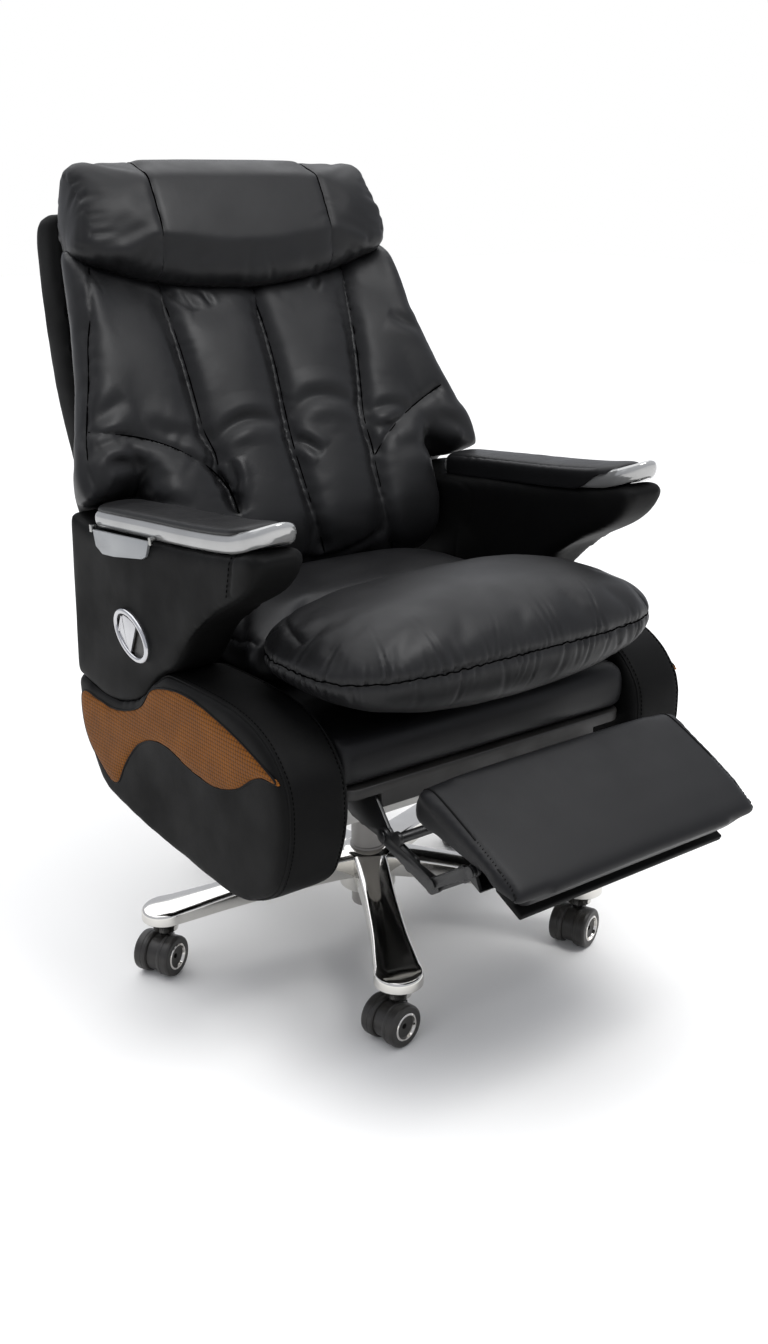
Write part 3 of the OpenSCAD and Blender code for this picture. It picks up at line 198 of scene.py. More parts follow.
def skin(rings, loop=False):
    """Points and quads of a skin through closed rings of points; a loop joins the last ring to the first."""
    rings = np.asarray(rings, float)
    m, n = rings.shape[:2]
    j, i = np.meshgrid(np.arange(m if loop else m - 1), np.arange(n), indexing="ij")
    corners = [j * n + i, j * n + (i + 1) % n, (j + 1) % m * n + (i + 1) % n, (j + 1) % m * n + i]
    return rings.reshape(-1, 3), np.stack(corners, -1).reshape(-1, 4)


def turned(profile, segments):
    """Skin of a closed (radius, height) profile turned about Z."""
    a = np.arange(segments) * 2 * math.pi / segments
    r, z = np.asarray(profile, float).T
    return skin(np.stack([np.outer(np.cos(a), r), np.outer(np.sin(a), r), np.tile(z, (segments, 1))], -1), loop=True)


def moved(skin_parts, turn=0, shift=(0, 0, 0)):
    """A skin turned about Z by degrees, then shifted."""
    co, faces = skin_parts
    a = math.radians(turn)
    spin = np.array([[math.cos(a), -math.sin(a), 0], [math.sin(a), math.cos(a), 0], [0, 0, 1]])
    return co @ spin.T + np.asarray(shift, float), faces


def make_piece(name, skins, material, crease=40):
    """One object of the skins, in millimetres: doubles merged, faces outwards, smooth but for sharp creases."""
    bm = bmesh.new()
    for co, faces in skins:
        verts = [bm.verts.new(p * MM) for p in co]
        for face in faces:
            bm.faces.new([verts[k] for k in face])
    bmesh.ops.remove_doubles(bm, verts=bm.verts, dist=2e-6)
    bmesh.ops.dissolve_degenerate(bm, edges=bm.edges, dist=1e-6)
    bmesh.ops.recalc_face_normals(bm, faces=bm.faces)
    mesh = bpy.data.meshes.new(name)
    bm.to_mesh(mesh)
    bm.free()
    mesh.materials.append(material)
    mesh.shade_smooth()
    mesh.set_sharp_from_angle(angle=math.radians(crease))
    piece = bpy.data.objects.new(name, mesh)
    scene.collection.objects.link(piece)
    return piece


def settle(piece, body, slot, *nodes):
    """A finished piece rides on its body and stands for its CAD nodes; its slot is not used."""
    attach(piece, body)
    if nodes:
        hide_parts(*nodes)


def metal(name, colour, dark, roughness, haze_mm, grain_mm, grain_depth, bright=1.0):
    """A worked metal: its colour and gloss cloud a little, and fine marks catch the light."""
    material, tree, shader, place = blank_material(name)
    cloud = add(tree, "ShaderNodeTexNoise", {"Vector": place, "Scale": 1000 / haze_mm, "Detail": 4.0}).outputs["Fac"]
    marks = add(tree, "ShaderNodeTexNoise", {"Vector": place, "Scale": 1000 / grain_mm, "Detail": 2.0}).outputs["Fac"]
    tint = add(tree, "ShaderNodeMix", {0: cloud, 6: srgb(dark), 7: srgb(colour)}, data_type="RGBA")
    gloss = add(tree, "ShaderNodeMapRange", {"Value": cloud, "From Min": 0.3, "From Max": 0.7,
                                             "To Min": roughness * 0.75, "To Max": roughness * 1.3})
    relief = add(tree, "ShaderNodeBump", {"Height": marks, "Strength": 0.5, "Distance": grain_depth * MM})
    return coat(material, shader, tint, gloss, relief, metallic=bright)


# Polished aluminium: a near mirror with faint grey clouding from hand polishing.
polished_aluminium = metal("polished_aluminium", "#dcdad6", "#c9c7c2", 0.09, 45, 6, 0.006)


def cast_arm():
    """One arm along +X: a thick shell, open below, from rings drawn inwards from its plan outline to its spine."""
    x = np.concatenate([[ARM_START], np.arange(40, 310, 12.0), [315]])
    half = along(ARM_HALF, x)
    side = np.stack([x, half], -1)
    start = math.acos((315 - STEM_CIRCLE) / TIP_R)
    arc = np.linspace(start, -start, 30)[1:-1]
    tip = np.stack([STEM_CIRCLE + TIP_R * np.cos(arc), TIP_R * np.sin(arc)], -1)
    plan = np.concatenate([side, tip, side[::-1] * [1, -1]])
    spine = np.stack([np.clip(plan[:, 0], ARM_START, STEM_CIRCLE), np.zeros(len(plan))], -1)
    reach = np.linalg.norm(plan - spine, axis=1)[:, None]
    inward = (spine - plan) / reach

    def ring(inset, z_of):
        flat = spine if inset is None else plan + inward * np.minimum(inset, reach)
        return np.column_stack([flat, z_of(flat)])

    def top(flat, drop=0.0):
        off = 1 - np.minimum(1, np.linalg.norm(flat - spine, axis=1) / reach[:, 0])
        return along(ARM_TOP, flat[:, 0]) - ARM_CROWN * (1 - off) ** 2 - drop

    def foot(flat, rise=0.0):
        return along(ARM_LOW, flat[:, 0]) + rise

    def roof(flat):
        return top(flat, CAST_WALL + 1)

    rings = [ring(None, top)] + [ring(reach * s, top) for s in (0.75, 0.5, 0.3)]
    for a in np.radians((90, 66, 44, 22, 0)):
        rings.append(ring(ARM_EDGE * (1 - math.cos(a)), lambda flat: top(flat) - ARM_EDGE * (1 - math.sin(a))))
    rings += [ring(0.0, lambda flat: foot(flat, 1.2)), ring(1.2, foot), ring(CAST_WALL, foot),
              ring(CAST_WALL + 0.6, roof), ring(None, roof)]
    shells = [skin(rings)]
    for place_x in RIB_PLACES:
        half_y = float(along(ARM_HALF, place_x)) - CAST_WALL + 0.6
        low, high = float(along(ARM_LOW, place_x)) + 3, float(along(ARM_TOP, place_x)) - CAST_WALL
        edge = np.array([[-half_y, low + 2], [-half_y + 2, low], [half_y - 2, low], [half_y, low + 2],
                         [half_y, high], [-half_y, high]])
        middle = np.tile(edge.mean(0), (len(edge), 1))
        shells.append(skin([np.column_stack([np.full(len(e), place_x + dx), e]) for dx, e in (
            (-RIB_HALF, middle), (-RIB_HALF, edge), (RIB_HALF, edge), (RIB_HALF, middle))]))
    return shells


arm_shells = cast_arm() + [moved(turned(COLLAR_PROFILE, 48), shift=(STEM_CIRCLE, 0, 0))]
base_skins = [turned(HUB_PROFILE, 96)] + [moved(s, turn) for turn in ARM_TURNS for s in arm_shells]
settle(make_piece("polished_star_base", base_skins, polished_aluminium), "base", "polished_base", "star_base")


# Casters: 60 mm twin wheels of moulded nylon on a fork body, with a bright pressed ring on each
# face and a plated steel stem and axle. The wheels' CAD solids have their true turned shape.
HANDLED_MM = 30


def dress(material, *nodes):
    """Gives CAD nodes that keep their shape their finish."""
    for node in nodes:
        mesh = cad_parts[node].data
        for k in range(len(mesh.materials)):
            mesh.materials[k] = material
        if not mesh.materials:
            mesh.materials.append(material)


def moulded(name, colour, pale_tone, roughness, texture_mm, depth):
    """Moulded or coated plastic: an even skin with a fine texture and duller, paler patches of handling."""
    material, tree, shader, place = blank_material(name)
    cloud = add(tree, "ShaderNodeTexNoise", {"Vector": place, "Scale": 1000 / HANDLED_MM, "Detail": 5.0}).outputs["Fac"]
    texture = add(tree, "ShaderNodeTexNoise", {"Vector": place, "Scale": 1000 / texture_mm, "Detail": 3.0})
    tint = add(tree, "ShaderNodeMix", {0: cloud, 6: srgb(colour), 7: srgb(pale_tone)}, data_type="RGBA")
    gloss = add(tree, "ShaderNodeMapRange", {"Value": cloud, "From Min": 0.3, "From Max": 0.7,
                                             "To Min": roughness * 0.85, "To Max": roughness * 1.2})
    relief = add(tree, "ShaderNodeBump", {"Height": texture.outputs["Fac"], "Strength": 0.6, "Distance": depth * MM})
    return coat(material, shader, tint, gloss, relief)


# Black nylon: dark and slightly brown, with a spark-eroded mould texture of about 0.8 mm,
# drawn at 2 mm so that it shows.
caster_nylon = moulded("black_nylon", "#1a1816", "#2a2825", 0.42, 2.0, 0.05)
# Chrome on a pressed steel ring: bright, with hardly any haze.
ring_chrome = metal("pressed_chrome_ring", "#e4e2de", "#c8c5c0", 0.12, 18, 3, 0.004)
# Turned and zinc-plated steel for stems, axles, pins and the rod.
plated_steel = metal("zinc_plated_steel", "#a9a9a6", "#8c8c8a", 0.26, 12, 1.5, 0.01)
dress(caster_nylon, *["caster_%d_%s" % (k, part) for k in range(1, 6) for part in ("fork", "wheels")])
dress(ring_chrome, *["caster_%d_rings" % k for k in range(1, 6)])
dress(plated_steel, "caster_stems", *["caster_%d_axle" % k for k in range(1, 6)])


# Gas lift: a drawn steel tube with a grey satin coat, closed at its foot, and its ground rod.
TUBE_PROFILE = [(14.2, 38), (14.2, 231), (15.2, 232), (24, 232), (25, 231), (25, 134), (27, 133.2), (27, 130.2),
                (24.98, 130.2), (25, 38), (24, 35), (21, 34), (0.4, 34), (0.4, 38)]
# Grey satin coat: even and half glossy, with hardly any texture.
lift_grey = moulded("grey_satin_coat", "#8f8c88", "#9b9894", 0.34, 3.0, 0.02)
settle(make_piece("gas_lift_tube", [turned(TUBE_PROFILE, 96)], lift_grey, 30), "base", "grey_tube", "gas_tube")
dress(plated_steel, "gas_piston")


# Seat mechanism: pressed steel housing and box rails with a black powder coat, a grey painted
# cross plate and a black stained plywood board. Their cut edges are broken by small radii.
def cad_copy(node, name):
    """A merged copy of a CAD solid, without its finish."""
    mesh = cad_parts[node].data.copy()
    mesh.name = name
    mesh.materials.clear()
    bm = bmesh.new()
    bm.from_mesh(mesh)
    bmesh.ops.remove_doubles(bm, verts=bm.verts, dist=1e-5)
    bm.to_mesh(mesh)
    bm.free()
    piece = bpy.data.objects.new(name, mesh)
    scene.collection.objects.link(piece)
    return piece


def bake(piece):
    """Leaves the piece's evaluated shape as its own plain mesh."""
    graph = bpy.context.evaluated_depsgraph_get()
    mesh = bpy.data.meshes.new_from_object(piece.evaluated_get(graph))
    piece.modifiers.clear()
    old, piece.data = piece.data, mesh
    bpy.data.meshes.remove(old)


def broken_edges(node, name, material, radius, body, slot):
    """A CAD solid's copy whose flat faces are whole again and whose edges are rounded by the radius."""
    piece = cad_copy(node, name)
    bm = bmesh.new()
    bm.from_mesh(piece.data)
    bmesh.ops.dissolve_limit(bm, angle_limit=math.radians(1.5), verts=bm.verts, edges=bm.edges)
    bm.to_mesh(piece.data)
    bm.free()
    bevel = piece.modifiers.new("broken_edges", "BEVEL")
    bevel.width = radius * MM
    bevel.segments = 2
    bevel.angle_limit = math.radians(38)
    bevel.harden_normals = False
    bake(piece)
    piece.data.materials.append(material)
    piece.data.shade_smooth()
    piece.data.set_sharp_from_angle(angle=math.radians(35))
    settle(piece, body, slot, node)
    return piece


# Powder coat: near black, half matte, with an orange-peel skin of about 1.5 mm.
powder_coat = moulded("black_powder_coat", "#101011", "#1a1a1b", 0.4, 1.5, 0.06)
# Grey paint on pressed plate.
plate_paint = moulded("grey_plate_paint", "#b4b3b0", "#a3a29f", 0.38, 2.5, 0.03)
# Plywood stained black: long soft grain shows as changes of gloss.
stained_ply = moulded("black_stained_plywood", "#141313", "#201e1c", 0.55, 4.0, 0.12)
broken_edges("tilt_housing", "tilt_housing_coated", powder_coat, 1.2, "seat", "black_steel")
broken_edges("mounting_rails", "mounting_rails_coated", powder_coat, 0.8, "seat", "black_steel")
broken_edges("cross_plate", "cross_plate_painted", plate_paint, 0.9, "seat", "grey_steel")
broken_edges("seat_board", "seat_board_stained", stained_ply, 2.5, "seat", "black_board")


# Leather: corrected-grain hide dyed black. Its pebbles are about 1.4 mm and drawn at 2.2 mm so
# that they show; broad soft creases and rubbed, glossier places break up the colour, and its ridges are painted paler:
# part wear, part painted sheen.
PEBBLE_MM, CREASE_MM, RUBBED_MM = 2.2, 24, 95
GRAIN_DEPTH = 0.08
RELAX_SHARE = 0.6
CLOTH_FRAMES, CLOTH_PRESSURE = 20, 4
LINE_STEP, TUBE_SIDES = 5.0, 8


def leather(name, colour, pale_tone, roughness, crease=0.5, shine=0.5):
    """Black leather with a pebbled grain, soft creases and paler ridges, part rubbed wear and part painted sheen."""
    material, tree, shader, place = blank_material(name)
    pebbles = add(tree, "ShaderNodeTexVoronoi", {"Vector": place, "Scale": 1000 / PEBBLE_MM},
                  feature="DISTANCE_TO_EDGE")
    domes = add(tree, "ShaderNodeMapRange", {"Value": pebbles.outputs["Distance"], "From Max": 0.28})
    cloud = add(tree, "ShaderNodeTexNoise", {"Vector": place, "Scale": 1000 / RUBBED_MM, "Detail": 5.0}).outputs["Fac"]
    creases = add(tree, "ShaderNodeTexNoise", {"Vector": place, "Scale": 1000 / CREASE_MM, "Detail": 3.0,
                                               "Distortion": 0.8})
    # Painted sheen and wear: convex places turn paler where the slow cloud is high.
    ridges = add(tree, "ShaderNodeMapRange", {"Value": add(tree, "ShaderNodeNewGeometry").outputs["Pointiness"],
                                              "From Min": 0.495, "From Max": 0.56})
    wear_and_sheen = add(tree, "ShaderNodeMath", {0: ridges.outputs["Result"], 1: cloud}, operation="MULTIPLY")
    tint = add(tree, "ShaderNodeMix", {0: wear_and_sheen.outputs[0], 6: srgb(colour), 7: srgb(pale_tone)}, data_type="RGBA")
    gloss = add(tree, "ShaderNodeMapRange", {"Value": cloud, "From Min": 0.3, "From Max": 0.7,
                                             "To Min": roughness * 0.82, "To Max": roughness * 1.2})
    soft = add(tree, "ShaderNodeBump", {"Height": creases.outputs["Fac"], "Strength": 0.6, "Distance": crease * MM})
    fine = add(tree, "ShaderNodeBump", {"Height": domes.outputs["Result"], "Strength": 0.5,
                                        "Distance": GRAIN_DEPTH * MM, "Normal": soft.outputs["Normal"]})
    return coat(material, shader, tint, gloss, fine, specular=shine)


# Corrected grain on the cushions: a soft sheen along each fold, its ridges painted paler. The seat base and the
# footrest wear a smoother hide, the sides and the shell a duller one, darker as painted shade, and the thread is
# blacker than either, as painted seam shade.
black_leather = leather("black_leather", "#111112", "#202022", 0.44, crease=0.35, shine=0.26)
smooth_leather = leather("smooth_black_leather", "#121213", "#1f1f21", 0.44, crease=0.2, shine=0.18)
# Darker and with little shine: partly painted shade for the sides, which face away from the light.
matte_leather = leather("matte_black_leather_with_side_shade", "#0b0b0b", "#131313", 0.55, crease=0.25, shine=0.07)
# Thread: black, without shine and blacker than the hide, so it partly paints the seams' shade as dark lines.
thread_and_seam_shade = leather("black_thread_and_seam_shade", "#020202", "#020202", 0.9, shine=0.0)


def points(piece):
    """The piece's points in millimetres and the way out of its skin at each."""
    mesh = piece.data
    co, out = np.empty(len(mesh.vertices) * 3), np.empty(len(mesh.vertices) * 3)
    mesh.vertices.foreach_get("co", co)
    mesh.vertex_normals.foreach_get("vector", out)
    return co.reshape(-1, 3) / MM, out.reshape(-1, 3)


def place_points(piece, co):
    """Moves the piece's points to places in millimetres."""
    piece.data.vertices.foreach_set("co", (co * MM).ravel())
    piece.data.update()


def relax(piece, passes):
    """Smooths a skin: each point moves towards the middle of its neighbours."""
    co = points(piece)[0]
    ends = np.empty(len(piece.data.edges) * 2, dtype=np.int32)
    piece.data.edges.foreach_get("vertices", ends)
    a, b = ends.reshape(-1, 2).T
    count = np.bincount(np.concatenate([a, b]), minlength=len(co))[:, None]
    for _ in range(passes):
        total = np.stack([np.bincount(a, co[b, k], len(co)) + np.bincount(b, co[a, k], len(co)) for k in range(3)], -1)
        co += RELAX_SHARE * (total / count - co)
    place_points(piece, co)


def ramp(value, start, end):
    """Share that rises from 0 at the start to 1 at the end."""
    return np.clip((value - start) / (end - start), 0, 1)


def divide(piece):
    """Smooth subdivision, baked."""
    finer = piece.modifiers.new("finer", "SUBSURF")
    finer.levels = finer.render_levels = 1
    bake(piece)


def even_out(piece, voxel, passes):
    """Gives a piece an even, smooth skin."""
    even = piece.modifiers.new("even", "REMESH")
    even.mode, even.voxel_size = "VOXEL", voxel * MM
    bake(piece)
    relax(piece, passes)


def covered(node, name, voxel, passes, fine=True, cover=0.0):
    """A soft CAD solid as an even, smooth skin, with a cover of some thickness over its foam."""
    piece = cad_copy(node, name)
    even_out(piece, voxel, passes)
    co, out = points(piece)
    place_points(piece, co + out * cover)
    if fine:
        divide(piece)
    return piece


def swell(piece, ease, cap, held, slack=0.0, calm=4):
    """Fills a cover: it starts smaller by the ease, and cloth pressed out from inside makes its bulges.
    held is a share for each point by which stitching or a board keeps it where it is."""
    co, out = points(piece)
    small = co - out * ease
    place_points(piece, small)
    cloth = piece.modifiers.new("filling", "CLOTH")
    cloth.settings.use_pressure = True
    cloth.settings.uniform_pressure_force = CLOTH_PRESSURE
    cloth.settings.effector_weights.gravity = 0
    cloth.settings.quality = 5
    cloth.settings.shrink_min = -slack
    cloth.collision_settings.use_collision = False
    group = piece.vertex_groups.new(name="held")
    for share in (0.25, 0.5, 0.75, 1.0):
        pick = np.flatnonzero((held > share - 0.125) & (held <= share + 0.125))
        group.add(pick.tolist(), share, "REPLACE")
    cloth.settings.vertex_group_mass = "held"
    cloth.point_cache.frame_start, cloth.point_cache.frame_end = 1, CLOTH_FRAMES
    for k in range(1, CLOTH_FRAMES + 1):
        scene.frame_set(k)
    bake(piece)
    scene.frame_set(1)
    piece.vertex_groups.clear()
    moved_by = points(piece)[0] - small
    size = np.linalg.norm(moved_by, axis=1)[:, None]
    place_points(piece, small + moved_by * np.minimum(1, cap / np.maximum(size, 1e-6)))
    relax(piece, calm)


def near_line(line, co, reach):
    """Points within reach of a line: which they are, how far, where along it, and on which side vector."""
    line = np.asarray(line, float).reshape(-1, 3)
    if len(line) < 2:
        return np.zeros(0, int), np.zeros(0), np.zeros(0), np.zeros((0, 3)), np.zeros((0, 3)), 1.0
    pick = np.flatnonzero(((co > line.min(0) - reach) & (co < line.max(0) + reach)).all(1))
    p = co[pick]
    best, where = np.full(len(p), 1e9), np.zeros(len(p))
    off, way = np.zeros((len(p), 3)), np.zeros((len(p), 3))
    start = 0.0
    for a, b in zip(line[:-1], line[1:]):
        size = np.linalg.norm(b - a)
        if size > 1e-9:
            d = (b - a) / size
            t = np.clip((p - a) @ d, 0, size)
            q = p - a - t[:, None] * d
            r = np.linalg.norm(q, axis=1)
            closer = r < best
            best[closer], where[closer], off[closer], way[closer] = r[closer], start + t[closer], q[closer], d
            start += size
    keep = best < reach
    return pick[keep], best[keep], where[keep], off[keep], way[keep], start


def ends_fade(where, length, over, closed):
    """Share that falls to 0 at both ends of an open line."""
    return 1.0 if closed else np.clip(np.minimum(where, length - where) / over, 0, 1) ** 0.7


def sew(piece, line, depth, width, closed=False):
    """Pulls the skin in along a seam: a broad hollow with a sharp bottom."""
    co, out = points(piece)
    at, r, where, _, _, length = near_line(line, co, 2.6 * width)
    dent = depth * (0.55 * np.exp(-(r / width) ** 2) + 0.45 * np.exp(-r / (0.2 * width)))
    co[at] -= out[at] * (dent * ends_fade(where, length, width, closed))[:, None]
    place_points(piece, co)


def gather(piece, line, pitch, reach, depth, seed, closed=False):
    """Random puckers that run away from a seam on its sides."""
    chance = np.random.default_rng(seed)
    co, out = points(piece)
    at, r, where, off, way, length = near_line(line, co, 1.6 * reach)
    side = np.sign(np.einsum("ij,ij->i", np.cross(way, out[at]), off))
    dent = np.zeros(len(at))
    for middle in (np.arange(int(length / pitch)) + chance.uniform(0.1, 0.9, int(length / pitch))) * pitch:
        which, wide = chance.choice((-1, 1)), pitch * chance.uniform(0.16, 0.36)
        far, lean, deep = reach * chance.uniform(0.3, 1.0), chance.uniform(-0.35, 0.35), depth * chance.uniform(0.4, 1)
        across = (where - middle - lean * r) / wide
        ridge = np.exp(-across ** 2) - 0.45 * np.exp(-(np.abs(across) - 1.8) ** 2)
        dent += (side == which) * deep * ridge * np.exp(-(r / far) ** 2)
    co[at] -= out[at] * (dent * ends_fade(where, length, pitch, closed))[:, None]
    place_points(piece, co)


def fold(piece, line, depth, width, rise=0.5):
    """A crease of slack leather: a valley between two soft ridges, fading at both ends."""
    co, out = points(piece)
    at, r, where, _, _, length = near_line(line, co, 4 * width)
    dent = depth * (np.exp(-(r / width) ** 2) - rise * np.exp(-((r - 2.1 * width) / (1.2 * width)) ** 2))
    co[at] -= out[at] * (dent * np.sin(np.pi * np.clip(where / length, 0, 1)) ** 0.6)[:, None]
    place_points(piece, co)


def tree_of(piece):
    """Search tree of a piece's skin."""
    return BVHTree.FromObject(piece, bpy.context.evaluated_depsgraph_get())


def lay_on(piece, starts, aims):
    """Line in millimetres where rays from each start through its aim first meet the skin."""
    tree = tree_of(piece)
    hits = []
    for start, aim in zip(starts, aims):
        start = Vector(start)
        hit = tree.ray_cast(start * MM, (Vector(aim) - start).normalized())[0]
        if hit is not None:
            hits.append(list(hit / MM))
    return np.array(hits)


def cut_line(piece, axis, value):
    """The longest closed line in which a plane across an axis cuts a piece, with even steps."""
    bm = bmesh.new()
    bm.from_mesh(piece.data)
    across = Vector([float(k == axis) for k in range(3)])
    cut = bmesh.ops.bisect_plane(bm, geom=bm.verts[:] + bm.edges[:] + bm.faces[:], dist=1e-7,
                                 plane_co=across * value * MM, plane_no=across)["geom_cut"]
    beside = {}
    for edge in cut:
        if isinstance(edge, bmesh.types.BMEdge):
            for a, b in (edge.verts, reversed(edge.verts)):
                beside.setdefault(a, []).append(b)
    longest, seen_verts = [], set()
    for first in beside:
        line, here = [], first
        while here is not None and here not in seen_verts:
            seen_verts.add(here)
            line.append(list(here.co / MM))
            here = next((v for v in beside[here] if v not in seen_verts), None)
        if len(line) > len(longest):
            longest = line
    bm.free()
    line = np.array(longest + longest[:1])
    place = np.concatenate([[0], np.cumsum(np.linalg.norm(np.diff(line, axis=0), axis=1))])
    even = np.linspace(0, place[-1], max(8, int(place[-1] / LINE_STEP)) + 1)[:-1]
    line = np.stack([np.interp(even, place, line[:, k]) for k in range(3)], -1)
    for _ in range(3):
        line = (np.roll(line, 1, 0) + 2 * line + np.roll(line, -1, 0)) / 4
    return np.concatenate([line, line[:1]])


def stick(piece, line, lift):
    """A line's points moved to the nearest places on a skin, lifted off it by a distance."""
    tree = tree_of(piece)
    found = [tree.find_nearest(Vector(p) * MM) for p in line]
    return np.array([list(hit / MM + normal * lift) for hit, normal, _, _ in found])


def tube(line, radius, closed=False, ref=(1, 0, 0)):
    """Skin of a round bar along a line."""
    line = np.asarray(line, float)
    if closed:
        line = line[:-1]
    ahead = np.roll(line, -1, 0) - np.roll(line, 1, 0)
    if not closed:
        ahead[0], ahead[-1] = line[1] - line[0], line[-1] - line[-2]
    ahead /= np.maximum(np.linalg.norm(ahead, axis=1), 1e-9)[:, None]
    u = np.cross(ahead, ref)
    u /= np.maximum(np.linalg.norm(u, axis=1), 1e-9)[:, None]
    v = np.cross(ahead, u)
    a = np.arange(TUBE_SIDES) * 2 * math.pi / TUBE_SIDES
    rings = line[:, None] + radius * (np.cos(a)[:, None] * u[:, None] + np.sin(a)[:, None] * v[:, None])
    if not closed:
        start, end = (np.tile(p, (1, TUBE_SIDES, 1)) for p in (line[0], line[-1]))
        rings = np.concatenate([start, rings, end])
    return skin(rings, loop=closed)


def strip(name, piece, line, lift, radius, material, body, **shape):
    """A thin piping or thread that lies in a seam of a piece; in thread colour it also paints the seam's shade as a
    dark line.
    """
    settle(make_piece(name, [tube(stick(piece, line, lift), radius, **shape)], material), body, "black_leather")


def finish_soft(piece, material, body, slot, fill, *nodes):
    piece.data.materials.clear()
    piece.data.materials.append(material)
    piece.data.shade_smooth()
    settle(piece, body, slot, *nodes)


# Lower seat base: foam on the board under stretched leather, smooth but for a shallow top edge.
base_cover = covered("base_pad", "base_pad_cover", 6, 8)
finish_soft(base_cover, smooth_leather, "seat", "black_leather", 0.8, "base_pad")

# Rear seat cushion: a foam block in a sewn cover, crowned, pinned only at its underside and rear.
seat_cover = covered("seat_pad", "seat_cushion_cover", 6, 5, False)
co, out = points(seat_cover)
swell(seat_cover, 1, 12, np.where((out[:, 2] < -0.5) | (out[:, 1] > 0.7), 1.0, 0.0))
divide(seat_cover)
for side, seed in ((-1, 11), (1, 12)):
    rim = smooth_line([(side * x, y, 540) for x, y in ((236, -70), (236, 20), (232, 100), (215, 150))], 8)
    rim = lay_on(seat_cover, rim + [0, 0, 60], rim)
    sew(seat_cover, rim, 3.5, 8)
    gather(seat_cover, rim, 16, 26, 1.5, seed)
finish_soft(seat_cover, black_leather, "seat", "black_leather", 0.7, "seat_pad")

# Front pillow: a soft roll over the seat's front. Its two covers meet in a seam round its front,
# and the leather gathers into short puckers above and below the stitches.
PILLOW_SEAM_Z = 529
pillow = covered("front_pillow", "front_pillow_cover", 6, 6, False)
co, out = points(pillow)
held = np.clip(1.3 - np.abs(co[:, 2] - PILLOW_SEAM_Z) / 7, 0, 1) * (co[:, 1] < -150)
held = np.maximum(held, (out[:, 2] < -0.6) * 1.0)
swell(pillow, 1, 12, held, 0.004)
divide(pillow)
equator = cut_line(pillow, 2, PILLOW_SEAM_Z)
equator = equator[np.argsort(np.arctan2(equator[:-1, 0], -(equator[:-1, 1] + 160)))]
equator = equator[equator[:, 1] < -120]
sew(pillow, equator, 4, 7)
gather(pillow, equator, 13, 52, 2.2, 21)
gather(pillow, equator, 9, 22, 1.4, 22)
for side in (-1, 1):
    arc = ((130, -96), (190, -108), (232, -134), (252, -172), (262, -216))
    arc = smooth_line([(side * x, y, 0) for x, y in arc], 8)
    arc = lay_on(pillow, arc + [0, 0, 900], arc)
    sew(pillow, arc, 3, 7)
finish_soft(pillow, black_leather, "seat", "black_leather", 0.65, "front_pillow")
# The seam's thread as a near-black tube: partly painted shade that draws the seam as a dark line.
strip("pillow_seam_shade", pillow, equator, 0.2, 0.9, thread_and_seam_shade, "seat", ref=(0, 0, 1))


# Side panels: padded boards wrapped in matte leather. Their broad front band is sewn in with a
# welt along each edge.
PANEL_X, WELT_R = 350, 1.5
REAR_FOAM, REAR_FROM, REAR_TO = 7, 60, 230
STITCH = {"Pitch": 6.5, "Half Stitch": 2.3, "Thread Radius": 0.55}


def fill_rear(piece):
    """Foam that fills a side piece out towards the rear."""
    co = points(piece)[0]
    co[:, 1] += REAR_FOAM * ramp(co[:, 1], REAR_FROM, REAR_TO) ** 2
    place_points(piece, co)


def stitch_rig(material):
    """Geometry Nodes: even points along a line, a small thread loop laid along it at each, made real."""
    rig = bpy.data.node_groups.new("stitch_row", "GeometryNodeTree")
    rig.interface.new_socket("Line", in_out="INPUT", socket_type="NodeSocketGeometry")
    for name in STITCH:
        rig.interface.new_socket(name, in_out="INPUT", socket_type="NodeSocketFloat")
    rig.interface.new_socket("Stitches", in_out="OUTPUT", socket_type="NodeSocketGeometry")
    inlet = add(rig, "NodeGroupInput")
    path = add(rig, "GeometryNodeMeshToCurve", {"Mesh": inlet.outputs["Line"]})
    even = add(rig, "GeometryNodeResampleCurve", {"Curve": path.outputs[0], "Length": inlet.outputs["Pitch"]},
               mode="LENGTH")
    turn = add(rig, "FunctionNodeAlignRotationToVector", {"Vector": add(rig, "GeometryNodeInputTangent").outputs[0]},
               axis="Z")
    loop = add(rig, "GeometryNodeMeshUVSphere", {"Segments": 8, "Rings": 6, "Radius": 1.0})
    size = add(rig, "ShaderNodeCombineXYZ", {"X": inlet.outputs["Thread Radius"], "Y": inlet.outputs["Thread Radius"],
                                             "Z": inlet.outputs["Half Stitch"]})
    rows = add(rig, "GeometryNodeInstanceOnPoints", {
        "Points": even.outputs[0], "Instance": loop.outputs["Mesh"], "Rotation": turn.outputs["Rotation"],
        "Scale": size.outputs[0]})
    real = add(rig, "GeometryNodeRealizeInstances", {"Geometry": rows.outputs[0]})
    painted = add(rig, "GeometryNodeSetMaterial", {"Geometry": real.outputs[0], "Material": material})
    add(rig, "NodeGroupOutput", {"Stitches": painted.outputs[0]})
    return rig


STITCH_RIG = stitch_rig(thread_and_seam_shade)


def stitch_row(name, piece, line, body):
    """A row of stitches on a skin along a line, baked to one mesh."""
    line = stick(piece, line, 0.25)
    mesh = bpy.data.meshes.new(name)
    mesh.from_pydata((line * MM).tolist(), [(k, k + 1) for k in range(len(line) - 1)], [])
    row = bpy.data.objects.new(name, mesh)
    scene.collection.objects.link(row)
    maker = row.modifiers.new("stitches", "NODES")
    maker.node_group = STITCH_RIG
    for item in STITCH_RIG.interface.items_tree:
        if item.in_out == "INPUT" and item.name in STITCH:
            maker[item.identifier] = STITCH[item.name] * MM
    bake(row)
    row.data.shade_smooth()
    settle(row, body, "black_leather")


